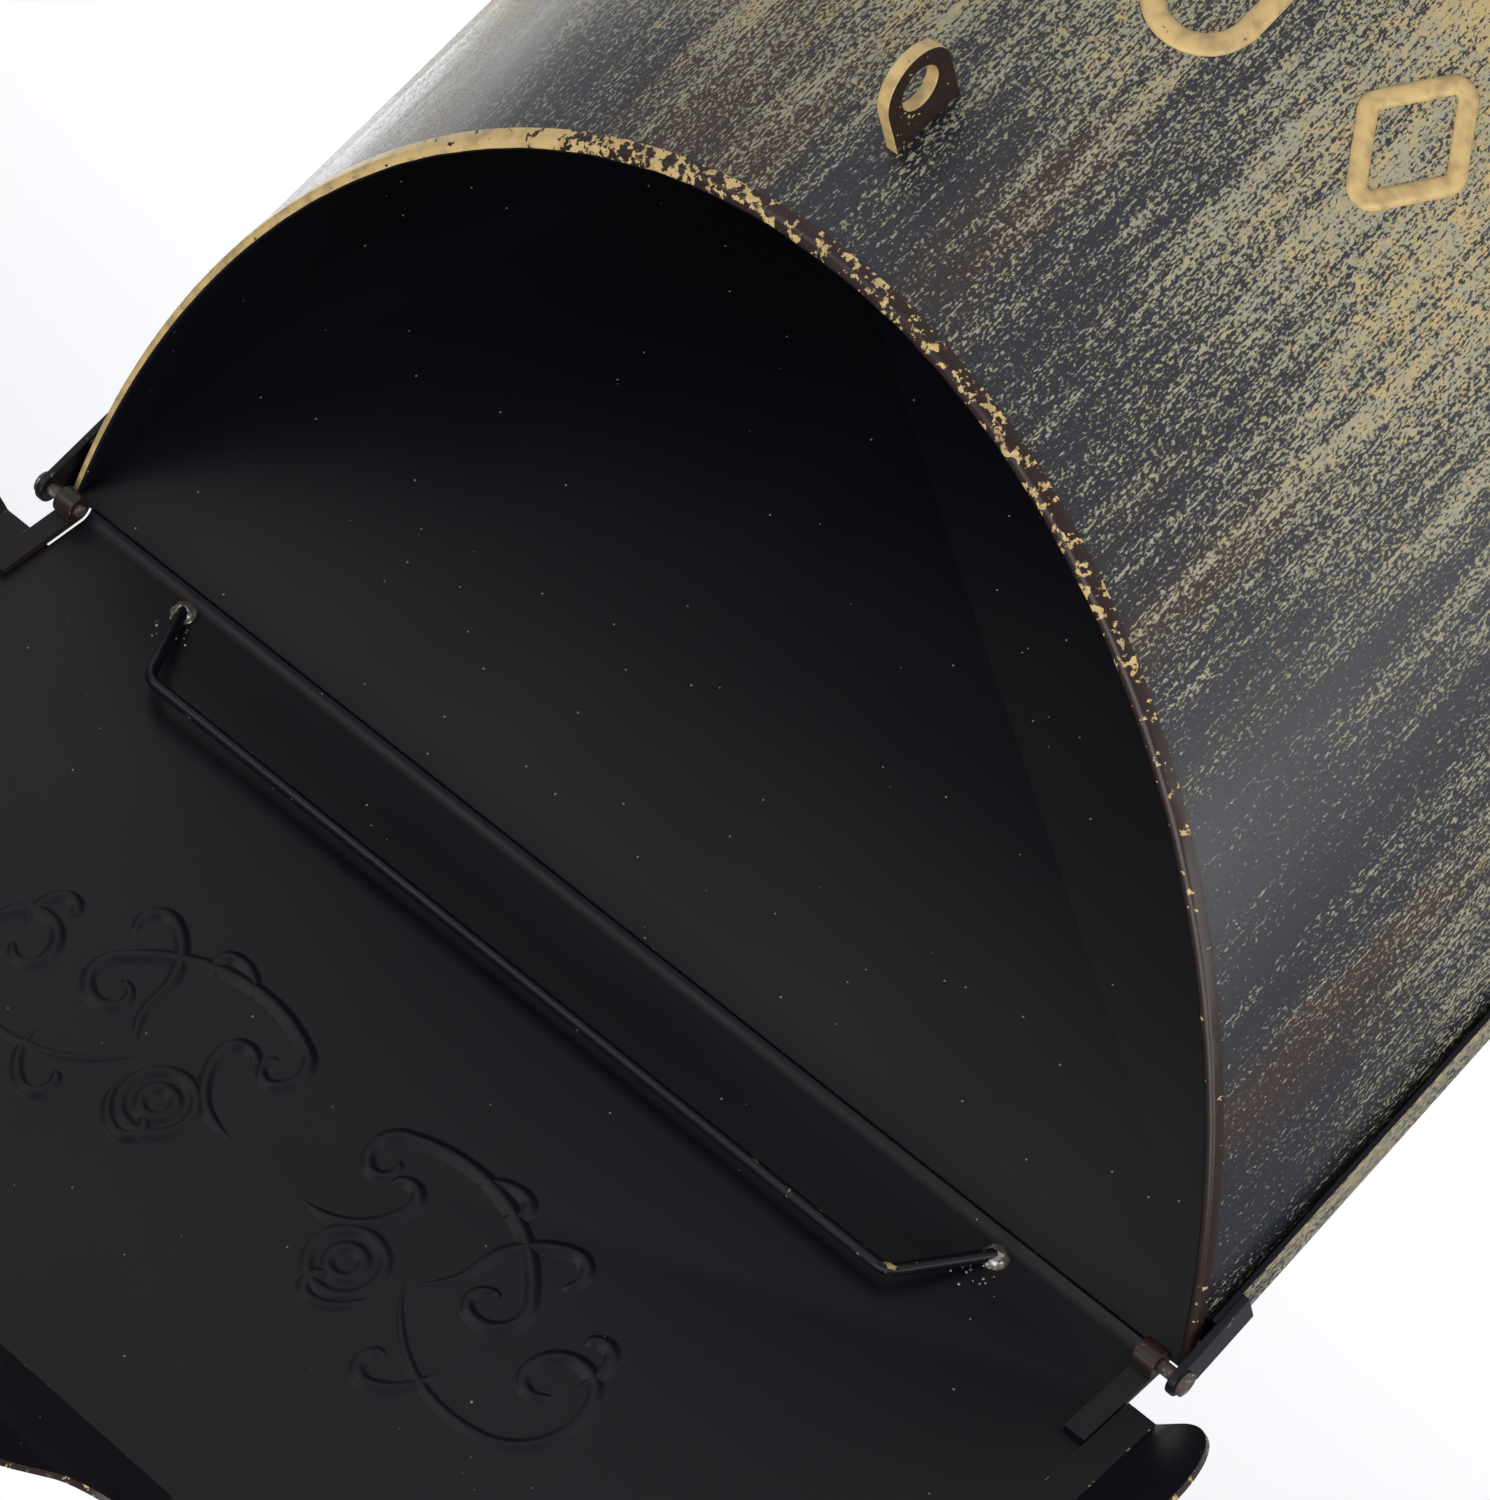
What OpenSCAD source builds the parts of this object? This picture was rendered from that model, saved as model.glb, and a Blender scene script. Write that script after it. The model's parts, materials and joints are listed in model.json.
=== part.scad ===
// Wall letterbox of sheet steel with a round front and a hinged hood lid.
// Origin: centre of the wall face. +X runs to the box's right as its front is seen,
// -Y runs from the wall to the front and +Z runs up.

/* [Box] */
// Width of the box over its front sheet
box_w = 260; // [220:1:320]
// Depth of the box from the wall to the middle of the front
box_d = 109; // [85:1:125]
// Height of the back panel
back_h = 360; // [300:1:440]
// Thickness of every sheet
sheet_t = 1.0; // [0.8:0.1:1.3]
// Slope of the rim down to the front, in degrees
rim_slope = 35.5; // [30:0.5:38]
// Depth of the side returns of the back panel
return_d = 7; // [6:0.5:10]
// Height of the floor's lip
floor_lip_h = 8; // [5:0.5:20]
// Thickness of each layer of the folded rim hem
hem_t = 0.5; // [0.3:0.05:0.7]
// Height of the rim hem
hem_h = 2.2; // [1.5:0.1:4]

/* [Wall screws] */
// Diameter of the wall holes
wall_hole_d = 5.5; // [4:0.1:7]
// Distance between the wall holes across
wall_hole_dx = 160; // [100:1:190]
// Distance between the wall holes up and down
wall_hole_dz = 190; // [120:1:200]
// Distance from the top edge to the upper wall holes
wall_hole_top = 140; // [130:1:150]

/* [Staple] */
// Distance from the front of the rim down to the staple
staple_gap = 19.8; // [18:0.1:30]
// Height of the staple
staple_h = 14.5; // [12:0.5:18]
// How far the staple stands out
staple_out = 17; // [16:0.5:22]
// Thickness of the staple
staple_t = 2.5; // [2:0.1:3.5]
// Diameter of the padlock hole
staple_hole_d = 8; // [6:0.1:9]

/* [Front motifs] */
// Distance from the staple down to the motifs
motif_gap = 26.5; // [25:0.5:50]
// Height of a motif
motif_h = 28; // [20:0.5:34]
// Width of a motif
motif_w = 21; // [16:0.5:26]
// Width of a motif's raised line
motif_line = 4; // [3:0.1:6]
// How far the motifs stand out of the sheet
motif_out = 0.9; // [0.6:0.1:1.4]
// Angle between two motifs round the front
motif_pitch = 17; // [15:0.5:20]

/* [Hinge] */
// Angle above level from the back panel's top corner to the hinge axis, in degrees
axis_lean = 35.6; // [30:0.1:45]
// Diameter of the hinge pins
pin_d = 2.4; // [2:0.1:3]
// Diameter of the pin heads
pin_head_d = 4.4; // [3.6:0.1:6]
// Thickness of the hinge ears
ear_t = 1.5; // [1:0.1:2]
// Height of an ear below the top edge
ear_drop = 14; // [12:0.5:24]
// Metal round a pin's head on its ear
ear_rim = 0.6; // [0.4:0.1:1.5]
// Wall of a rolled knuckle
knuckle_t = 1.35; // [1:0.05:1.6]
// Width of a knuckle strap
knuckle_w = 4.2; // [3:0.1:8]
// Length of a knuckle's strap along the lid
strap_len = 18; // [12:0.5:40]

/* [Lid] */
// Slope of the closed lid, in degrees
closed_slope = 31; // [28:0.5:31]
// Angle of the open lid above level, in degrees
open_angle = 75; // [60:1:85]
// Curl of the lid's rear edge round the hinge line, in degrees
lid_curl = 60; // [45:5:75]
// Width of the inturned flanges
flange_w = 5.7; // [4:0.1:8]
// Start of the side skirts from the hinge axis
skirt_start = 7.8; // [7:0.1:12]
// Width of a side skirt
skirt_w = 27; // [20:0.5:34]
// Bend of the side skirts from the flat, in degrees
skirt_bend = 50; // [45:1:65]
// Radius of a side skirt's corner
skirt_corner = 20; // [8:0.5:20]
// Bend of the front flap from the flat, in degrees
flap_bend = 58; // [55:0.5:58]
// Half width of the tongue
tongue_half = 36; // [25:0.5:45]
// Radius of the tongue's corners
tongue_corner = 24; // [10:0.5:25]
// Radius between the tongue and the valance
tongue_fillet = 16; // [5:0.5:25]
// Metal left between the slot and the end of the tongue
tongue_end = 9.5; // [6:0.5:16]

/* [Wire stay] */
// Diameter of the wire
wire_d = 2.2; // [1.6:0.1:3]
// Gap between the wire's bar and the lid
wire_gap = 3; // [2:0.1:6]
// Half of the distance between the wire's ends
wire_end_x = 95; // [80:1:104]
// Half of the length of the wire's bar
wire_bar_x = 86; // [60:1:95]
// Distance of the wire's ends from the hinge axis
wire_end_d = 2; // [1.5:0.1:2.4]
// Distance of the wire's bar from the hinge axis
wire_bar_d = 18; // [12:0.5:30]
// Radius of the wire's bends
wire_bend = 4; // [2:0.5:8]
// Diameter of a weld bead
weld_d = 5.4; // [4:0.1:6]

/* [Scrollwork] */
// Width of a scroll's bead
bead_w = 2.2; // [1.6:0.1:3]
// Distance of the medallions from the hinge axis
medallion_d = 74.6; // [60:0.1:90]
// Half of the distance between the medallions
medallion_x = 22; // [16:0.5:24]
// Outer radius of a medallion ring
medallion_r = 7.4; // [5:0.1:9]

/* [Fits] */
// Radial clearance of a pin in its knuckle
pin_clear = 0.05; // [0.02:0.01:0.1]
// Gap between two sheets of the lid
seam_gap = 0.4; // [0.2:0.05:0.8]
// Clearance between the tongue's slot and the staple
slot_clear = 1.5; // [1:0.1:3]
// Clearance of the lid's rear edge to the back panel
rear_clear = 0.69; // [0.6:0.01:0.9]
// Gap between the closed flap and the rim hem
front_gap = 1.2; // [0.8:0.1:3]
// Gap between a side skirt and its pin's head
head_gap = 0.4; // [0.3:0.1:2]
// Gap between a knuckle and the side skirt's flange
strap_gap = 0.2; // [0.2:0.1:1]
// Gap between a knuckle and the notch of the lid
notch_gap = 0.3; // [0.2:0.1:1]
// Length of a pin past its knuckle
pin_over = 0.6; // [0.2:0.1:2]

/* [Hidden] */

$fn = 96;
cut = 5;

blue_black = "#262b31";
gold_brown = "#6d5a35";
satin_black = "#1c1c1f";

// The front sheet is an arc through both back corners and the middle of the front
arc_r = (box_w * box_w / 4 + box_d * box_d) / (2 * box_d);
arc_y = arc_r - box_d;
zt = back_h / 2;
zb = -back_h / 2;
side_x = box_w / 2;
return_x = side_x + sheet_t;
return_top = zt - return_d * tan(rim_slope) - hem_h / cos(rim_slope);

// Hinge: the lid's curled rear edge turns past the back panel's top corner with its clearance
bore_r = pin_d / 2 + pin_clear;
knuckle_r = bore_r + knuckle_t;
turn_r = knuckle_r + sheet_t + rear_clear;
hinge_y = sheet_t + turn_r * cos(axis_lean);
hinge_up = turn_r * sin(axis_lean);
axis_z = zt + hinge_up;
ear_x = return_x;
head_x = ear_x + ear_t;
head_t = 1;

// Lid, in its own frame: X across, -Y along the lid from the axis, Z out of its face
face_in = knuckle_r;
flange_in = face_in - sheet_t;
lid_half = head_x + head_t + head_gap;
lid_w = 2 * lid_half;
flap_y = box_d + hem_t + front_gap - hinge_y;
lid_len = (flap_y - flange_in * sin(closed_slope)) / cos(closed_slope);
flange_x = lid_half - flange_w;
knuckle_x = flange_x - strap_gap - knuckle_w;
notch_x = knuckle_x - notch_gap;
pin_x0 = knuckle_x - pin_over;
skirt_drop = skirt_w * sin(skirt_bend);
skirt_reach = skirt_w * cos(skirt_bend);
valance = skirt_drop / sin(flap_bend);
mitre_d = skirt_drop / tan(flap_bend);
bend_strip = 0.6;

// Tongue: its slot lets the staple's lower tip pass on its circle round the hinge axis
bend_along = lid_len * cos(flap_bend) - flange_in * sin(flap_bend);
bend_across = lid_len * sin(flap_bend) + flange_in * cos(flap_bend);
staple_top = box_d * tan(rim_slope) + staple_gap;
staple_base = hinge_up + staple_top;
bend_drop = lid_len * sin(closed_slope) - flange_in * cos(closed_slope);
closed_angle = closed_slope + flap_bend;
tip_r = norm([box_d + staple_out - hinge_y, staple_base + staple_h]);
slot_w = staple_t + 2 * slot_clear;
slot_v0 = (staple_base - bend_drop) / sin(closed_angle) - slot_clear;
slot_v1 = sqrt(tip_r * tip_r - bend_across * bend_across) - bend_along + slot_clear;
tongue_len = slot_v1 + tongue_end;

// Wire stay
wire_r = wire_d / 2;
wire_swell = 0.06;
wire_lap = 0.4;
wire_end_z = face_in - wire_r;
wire_bar_z = face_in - wire_gap - wire_r;

// Scrolls: their starts from between the medallions, and their arcs, thin at the eyes
bead_lap = 0.3;
upper_start = [medallion_x + medallion_r + 1.6, 4.6, 0];
upper_scroll = [[26, 75, 0.85], [12, 100, 1], [6, 160, 0.8], [3.2, 160, 0.6]];
lower_start = [14, 19.6, 0];
lower_scroll = [[2.6, -180, 0.6], [4.8, -120, 0.8], [30, -78, 1], [5.2, -150, 0.8],
                [2.8, -180, 0.6]];

// Motifs
motif_drop = staple_top + staple_h + motif_gap + motif_h / 2;
motif_angles = [-1.5 * motif_pitch, -0.5 * motif_pitch, 0.5 * motif_pitch, 1.5 * motif_pitch];

// ---- Shared shapes ----

// Places a lid piece, drawn in the lid's own frame, at the open angle
module on_lid() {
    translate([0, -hinge_y, axis_z])
        rotate([-open_angle, 0, 0])
            children();
}

// Everything below a plane parallel to the rim, raised by h across the slope
module below_rim(h) {
    span = box_w;
    translate([0, 0, zt])
        rotate([rim_slope, 0, 0])
            translate([-span, -2 * span, h - 4 * back_h])
                cube([2 * span, 4 * span, 4 * back_h]);
}

// Keeps what lies in front of the back panel
module in_front() {
    intersection() {
        children();
        translate([-box_w, -2 * box_w - sheet_t, -2 * back_h])
            cube([2 * box_w, 2 * box_w, 4 * back_h]);
    }
}

// A vertical tube on the front arc's axis, as high as the back panel
module front_tube(r_out, r_in) {
    translate([0, arc_y, zb])
        difference() {
            cylinder(r = r_out, h = back_h, $fn = 180);
            translate([0, 0, -cut])
                cylinder(r = r_in, h = back_h + 2 * cut, $fn = 180);
        }
}

// A sheet in the plane that bends down from a line at the flange's inner face
module bent_sheet(angle) {
    rotate([0, angle, 0])
        linear_extrude(height = sheet_t)
            children();
}

// The outside of a bend, a sector about +Z that runs up from z = 0
module bend_sector(angle, len) {
    rotate_extrude(angle = angle)
        square([sheet_t, len]);
}

// A half-round bead along an arc from angle 0, flat side on z = 0, round side towards -z
module bead_arc(r, sweep, w) {
    rotate_extrude(angle = sweep, $fn = 64)
        translate([r, 0])
            intersection() {
                circle(d = w, $fn = 24);
                translate([-w, -2 * w])
                    square([2 * w, 2 * w]);
            }
}

// ---- Fixed body ----

module body_shell() {
    color(blue_black)
        in_front()
            intersection() {
                front_tube(arc_r, arc_r - sheet_t);
                below_rim(0);
            }
}

module back_panel() {
    color(blue_black)
        difference() {
            union() {
                translate([-return_x, -sheet_t, zb])
                    cube([2 * return_x, sheet_t, back_h]);
                for (side = [-1, 1])
                    translate([side * (side_x + sheet_t / 2) - sheet_t / 2, -return_d, zb])
                        cube([sheet_t, return_d, return_top - zb]);
            }
            for (x = [-1, 1], z = [0, 1])
                translate([x * wall_hole_dx / 2, cut, zt - wall_hole_top - z * wall_hole_dz])
                    rotate([90, 0, 0])
                        cylinder(d = wall_hole_d, h = 2 * cut);
        }
}

module bottom_panel() {
    floor_r = arc_r - sheet_t;
    color(blue_black)
        in_front()
            translate([0, arc_y, zb])
                difference() {
                    cylinder(r = floor_r, h = floor_lip_h, $fn = 180);
                    translate([0, 0, -sheet_t])
                        cylinder(r = floor_r - sheet_t, h = floor_lip_h, $fn = 180);
                }
}

module rim_hem() {
    color(gold_brown)
        in_front()
            difference() {
                intersection() {
                    front_tube(arc_r + hem_t, arc_r - sheet_t - hem_t);
                    below_rim(hem_t);
                }
                below_rim(hem_t - hem_h);
                intersection() {
                    front_tube(arc_r, arc_r - sheet_t);
                    below_rim(0);
                }
            }
}

module front_staple() {
    end_r = staple_h / 2;
    color(gold_brown)
        difference() {
            translate([-staple_t / 2, 0, zt - staple_top - end_r])
                rotate([90, 0, 90])
                    linear_extrude(height = staple_t)
                        difference() {
                            union() {
                                translate([-box_d - staple_out + end_r, 0])
                                    circle(r = end_r);
                                translate([-box_d - staple_out + end_r, -end_r])
                                    square([staple_out, staple_h]);
                            }
                            translate([-box_d - staple_out + end_r, 0])
                                circle(d = staple_hole_d);
                        }
            translate([0, arc_y, zb])
                cylinder(r = arc_r, h = back_h, $fn = 180);
        }
}

// Outline of a motif's ring: a slot shape, or a lozenge with a dot
module motif_outline(lozenge) {
    round_y = (motif_h - motif_w) / 2;
    if (lozenge) {
        inner = 1 - 2 * motif_line / motif_w;
        difference() {
            polygon([[0, motif_h / 2], [motif_w / 2, 0], [0, -motif_h / 2], [-motif_w / 2, 0]]);
            polygon([[0, inner * motif_h / 2], [inner * motif_w / 2, 0],
                     [0, -inner * motif_h / 2], [-inner * motif_w / 2, 0]]);
        }
    } else {
        difference() {
            slot_outline(motif_w / 2, round_y);
            slot_outline(motif_w / 2 - motif_line, round_y);
        }
    }
}

module slot_outline(r, half) {
    for (s = [-1, 1])
        translate([0, s * half]) circle(r = r);
    translate([-r, -half]) square([2 * r, 2 * half]);
}

module front_motifs() {
    color(gold_brown)
        intersection() {
            front_tube(arc_r + motif_out, arc_r);
            for (i = [0 : len(motif_angles) - 1])
                translate([0, arc_y, zt - motif_drop])
                    rotate([0, 0, motif_angles[i]])
                        rotate([90, 0, 0])
                            translate([0, 0, arc_r - cut])
                                linear_extrude(height = 2 * cut)
                                    motif_outline(i == 0 || i == len(motif_angles) - 1);
        }
}

module hinge_ear(side) {
    ear_r = pin_head_d / 2 + ear_rim;
    color(blue_black)
        translate([side * (ear_x + ear_t / 2) - ear_t / 2, 0, 0])
            rotate([90, 0, 90])
                linear_extrude(height = ear_t)
                    difference() {
                        union() {
                            translate([-hinge_y, axis_z]) circle(r = ear_r);
                            translate([-hinge_y - ear_r, zt - ear_drop])
                                square([hinge_y + ear_r, ear_drop]);
                            translate([-hinge_y - ear_r, zt])
                                square([2 * ear_r, hinge_up]);
                        }
                        translate([-hinge_y, axis_z]) circle(d = pin_d);
                    }
}

module hinge_pin(side) {
    color("#8a8172")
        translate([0, -hinge_y, axis_z])
            rotate([0, side * 90, 0]) {
                translate([0, 0, pin_x0])
                    cylinder(d = pin_d, h = head_x + head_t - pin_x0);
                translate([0, 0, head_x])
                    cylinder(d = pin_head_d, h = head_t);
            }
}

// ---- Lid ----

module lid_panel() {
    color(satin_black)
        on_lid() {
            translate([-lid_half, -lid_len, face_in])
                cube([lid_w, lid_len - skirt_start, sheet_t]);
            translate([-notch_x, 0, 0])
                rotate([90, 0, 90])
                    linear_extrude(height = 2 * notch_x)
                        lid_rear_section();
        }
}

// Section of the lid's rear strip, curled round the hinge line: X along the lid, Y out of it
module lid_rear_section() {
    polygon(concat([[-skirt_start, face_in]],
                   arc_points([0, 0], face_in, 90, 90 - lid_curl),
                   arc_points([0, 0], face_in + sheet_t, 90 - lid_curl, 90),
                   [[-skirt_start, face_in + sheet_t]]));
}

// Outline of a side skirt: X across its bend, Y along the lid towards the hinge
module skirt_outline() {
    front = -lid_len + seam_gap;
    rear = -skirt_start;
    translate([skirt_w - skirt_corner, rear - skirt_corner])
        intersection() {
            circle(r = skirt_corner);
            square(skirt_corner);
        }
    polygon([[0, front], [skirt_w, front - mitre_d], [skirt_w, rear - skirt_corner],
             [skirt_w - skirt_corner, rear - skirt_corner],
             [skirt_w - skirt_corner, rear], [0, rear]]);
}

module lid_skirt(side) {
    flange_front = -lid_len + flange_w + seam_gap;
    color(gold_brown)
        on_lid()
            mirror([side < 0 ? 1 : 0, 0, 0]) {
                translate([flange_x, flange_front, flange_in])
                    cube([flange_w, -skirt_start - flange_front, sheet_t]);
                translate([lid_half, -skirt_start, flange_in])
                    rotate([90, 0, 0])
                        rotate([0, 0, 90 - skirt_bend])
                            bend_sector(skirt_bend, lid_len - skirt_start - seam_gap);
                translate([lid_half, 0, flange_in])
                    bent_sheet(skirt_bend) skirt_outline();
            }
}

// Points along an arc
function arc_points(centre, r, from, to, steps = 16) =
    [for (i = [0 : steps]) centre + r * [cos(from + (to - from) * i / steps),
                                         sin(from + (to - from) * i / steps)]];

// Outline of the front flap: X across the lid, -Y down from the bend
module flap_outline() {
    root = [tongue_half + tongue_fillet, -valance - tongue_fillet];
    tip = [tongue_half - tongue_corner, -tongue_len + tongue_corner];
    top = bend_strip / 2;
    half = concat([[lid_half + skirt_reach * top / valance, -top],
                   [lid_half + skirt_reach, -valance]],
                  arc_points(root, tongue_fillet, 90, 180),
                  arc_points(tip, tongue_corner, 0, -90));
    other = [for (i = [len(half) - 1 : -1 : 0]) [-half[i][0], half[i][1]]];
    difference() {
        polygon(concat(half, other));
        translate([0, -(slot_v0 + slot_v1) / 2])
            slot_outline(slot_w / 2, (slot_v1 - slot_v0 - slot_w) / 2);
    }
}

// Section of the flange and the bend, along the lid and out of its face
module flap_bend_section() {
    bend = [-lid_len, flange_in];
    down = bend_strip * [-cos(flap_bend), -sin(flap_bend)];
    outer = arc_points(bend, sheet_t, 90, 90 + flap_bend, 6);
    polygon(concat([bend, bend + [flange_w, 0], bend + [flange_w, sheet_t]], outer,
                   [outer[len(outer) - 1] + down, bend + down]));
}

module lid_front_flap() {
    color(gold_brown)
        on_lid() {
            translate([-lid_half, 0, 0])
                rotate([90, 0, 90])
                    linear_extrude(height = lid_w)
                        flap_bend_section();
            translate([0, -lid_len, flange_in])
                rotate([flap_bend, 0, 0])
                    linear_extrude(height = sheet_t)
                        flap_outline();
        }
}

module lid_knuckle(side) {
    color(blue_black)
        on_lid()
            translate([side * (knuckle_x + knuckle_w / 2) - knuckle_w / 2, 0, 0])
                difference() {
                    union() {
                        rotate([0, 90, 0]) cylinder(r = knuckle_r, h = knuckle_w);
                        translate([0, -strap_len, face_in - knuckle_t])
                            cube([knuckle_w, strap_len, knuckle_t]);
                    }
                    translate([-cut, 0, 0])
                        rotate([0, 90, 0]) cylinder(r = bore_r, h = knuckle_w + 2 * cut);
                }
}

// The wire lies in one plane, which leans from its ends on the lid out to its bar
module wire_path() {
    run = wire_bar_d - wire_end_d;
    splay = wire_end_x - wire_bar_x;
    leg_y = norm([run, wire_gap]);
    turn = atan2(leg_y, splay);
    tangent = wire_bend * tan(turn / 2);
    half_bar = wire_bar_x - tangent;
    translate([0, -wire_bar_d, wire_bar_z])
        rotate([atan2(wire_gap, run), 0, 0]) {
            translate([-half_bar - wire_lap, 0, 0])
                rotate([0, 90, 0])
                    cylinder(r = wire_r, h = 2 * (half_bar + wire_lap), $fn = 32);
            for (side = [-1, 1])
                mirror([side < 0 ? 1 : 0, 0, 0])
                    translate([half_bar, wire_bend, 0])
                        rotate([0, 0, -90])
                            wire_corner(turn, norm([leg_y, splay]) - tangent);
        }
}

// One bend of the wire, a little fuller than the wire, and the leg after it
module wire_corner(turn, leg_len) {
    rotate_extrude(angle = turn)
        translate([wire_bend, 0])
            circle(r = wire_r + wire_swell, $fn = 32);
    rotate([0, 0, turn])
        translate([wire_bend, -wire_lap, 0])
            rotate([-90, 0, 0])
                cylinder(r = wire_r, h = leg_len + wire_lap, $fn = 32);
}

module wire_stay() {
    color(blue_black) on_lid() wire_path();
}

module wire_weld(side) {
    color(gold_brown)
        on_lid()
            difference() {
                intersection() {
                    translate([side * wire_end_x, -wire_end_d, face_in])
                        sphere(d = weld_d, $fn = 32);
                    translate([side * wire_end_x - weld_d, -wire_end_d - weld_d, face_in - weld_d])
                        cube([2 * weld_d, weld_d + wire_end_d, weld_d]);
                }
                wire_path();
            }
}

// Beads along arcs that run on from each other and lap a little: each arc is [radius, turn,
// width], and a left turn is positive. The run starts at the origin and heads along +Y.
module bead_run(arcs, i = 0) {
    if (i < len(arcs)) {
        r = arcs[i][0];
        turn = arcs[i][1];
        left = sign(turn);
        lap = bead_lap / r * 180 / PI;
        translate([-left * r, 0, 0]) {
            mirror([left < 0 ? 1 : 0, 0, 0])
                rotate([0, 0, -lap])
                    bead_arc(r, abs(turn) + 2 * lap, arcs[i][2] * bead_w);
            rotate([0, 0, turn])
                translate([left * r, 0, 0])
                    bead_run(arcs, i + 1);
        }
    }
}

module lid_scrollwork() {
    color(blue_black)
        on_lid()
            translate([0, -medallion_d, face_in])
                for (side = [-1, 1])
                    mirror([side < 0 ? 1 : 0, 0, 0]) {
                        for (r = [medallion_r - bead_w / 2, medallion_r * 0.4])
                            translate([medallion_x, 0, 0])
                                bead_arc(r, 360, bead_w);
                        translate(upper_start)
                            rotate([0, 0, -150])
                                bead_run(upper_scroll);
                        translate(lower_start)
                            rotate([0, 0, -124])
                                bead_run(lower_scroll);
                    }
}

body_shell();
back_panel();
bottom_panel();
rim_hem();
front_staple();
front_motifs();
hinge_ear(-1);  // hinge_ear_left
hinge_ear(1);  // hinge_ear_right
hinge_pin(-1);  // hinge_pin_left
hinge_pin(1);  // hinge_pin_right
lid_panel();
lid_scrollwork();
lid_skirt(-1);  // lid_skirt_left
lid_skirt(1);  // lid_skirt_right
lid_front_flap();
lid_knuckle(-1);  // lid_knuckle_left
lid_knuckle(1);  // lid_knuckle_right
wire_stay();
wire_weld(-1);  // wire_weld_left
wire_weld(1);  // wire_weld_right
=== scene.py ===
"""Looks of a wall letterbox: a dark steel box brushed with gilt paint, with its hood lid open."""

import json
import logging
import math
from dataclasses import dataclass
from enum import Enum, IntEnum
from typing import Callable, Iterable, Sequence

import bmesh
import bpy
from mathutils import Matrix, Vector, noise


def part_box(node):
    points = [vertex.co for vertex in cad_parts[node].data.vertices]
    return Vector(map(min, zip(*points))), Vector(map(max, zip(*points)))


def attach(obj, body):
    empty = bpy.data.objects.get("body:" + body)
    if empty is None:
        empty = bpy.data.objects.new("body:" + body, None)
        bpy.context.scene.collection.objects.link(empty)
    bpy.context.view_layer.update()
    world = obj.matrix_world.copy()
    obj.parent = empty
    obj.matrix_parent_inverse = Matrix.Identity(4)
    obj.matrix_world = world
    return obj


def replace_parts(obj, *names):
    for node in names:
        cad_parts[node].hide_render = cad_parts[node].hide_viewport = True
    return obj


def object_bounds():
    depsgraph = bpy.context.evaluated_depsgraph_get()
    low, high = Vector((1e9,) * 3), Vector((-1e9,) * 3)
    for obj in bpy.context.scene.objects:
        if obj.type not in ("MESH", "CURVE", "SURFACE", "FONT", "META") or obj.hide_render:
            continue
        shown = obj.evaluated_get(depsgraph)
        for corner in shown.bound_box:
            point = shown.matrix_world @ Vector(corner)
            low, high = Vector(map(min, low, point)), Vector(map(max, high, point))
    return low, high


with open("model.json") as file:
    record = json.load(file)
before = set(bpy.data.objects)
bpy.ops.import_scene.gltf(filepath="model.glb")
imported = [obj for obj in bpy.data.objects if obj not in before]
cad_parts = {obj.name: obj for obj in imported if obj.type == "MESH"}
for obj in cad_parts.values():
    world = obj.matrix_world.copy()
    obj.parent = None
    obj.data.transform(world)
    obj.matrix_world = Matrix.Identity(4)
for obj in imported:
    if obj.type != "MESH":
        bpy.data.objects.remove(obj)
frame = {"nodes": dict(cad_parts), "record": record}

CAD_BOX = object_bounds()
LOG = logging.getLogger("letterbox")
MM = 0.001

RIM_SLOPE = math.radians(35.5)
SHEET = 1.0 * MM

Node = bpy.types.Node
Socket = bpy.types.NodeSocket
Tree = bpy.types.NodeTree
Material = bpy.types.Material
Mesh = bpy.types.Mesh
Object = bpy.types.Object
Colour = tuple[float, float, float, float]
Span = tuple[float, float]
Steps = tuple[float, float, float, float]
Lift = Callable[[float, float, float], Vector]


class Face(IntEnum):
    """Which finish a face of a sheet takes: the material index on every piece."""

    OUTER = 0
    INNER = 1
    EDGE = 2


class Slot(str, Enum):
    """The record's material slots."""

    OUTER = "outer_paint"
    INNER = "inner_paint"
    GILT = "gilt_edge"
    STEEL = "pin_steel"


# ---------------------------------------------------------------- sizes from the frame


@dataclass(frozen=True)
class BoxPlan:
    """Plan and slope of the box, read from the frame.

    The front sheet is an arc round a vertical axis, cut at the top by a sloping plane.
    """

    radius: float
    centre_y: float
    sheet: float
    top: float
    bottom: float
    slope: float
    hem: float

    @classmethod
    def from_frame(cls) -> "BoxPlan":
        """Works the plan out from the boxes of the CAD nodes.

        Returns:
            The plan in metres and radians.
        """
        panel_lo, panel_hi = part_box("back_panel")
        shell_lo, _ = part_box("body_shell")
        hem_lo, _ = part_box("rim_hem")
        half = panel_hi.x - SHEET
        depth = -shell_lo.y
        radius = (half * half + depth * depth) / (2 * depth)
        hem = shell_lo.y - hem_lo.y
        return cls(radius, radius - depth, SHEET, panel_hi.z, panel_lo.z, RIM_SLOPE, hem)

    def rim_z(self, y: float) -> float:
        """Height of the rim plane at a distance y from the wall."""
        return self.top + y * math.tan(self.slope)

    def at(self, angle: float, radius: float, z: float) -> Vector:
        """Point at an angle round the front, from its middle towards +X."""
        return Vector((radius * math.sin(angle), self.centre_y - radius * math.cos(angle), z))

    def end_angle(self, radius: float) -> float:
        """Angle where a radius meets the face of the back panel."""
        return math.acos((self.centre_y + self.sheet) / radius)


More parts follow.
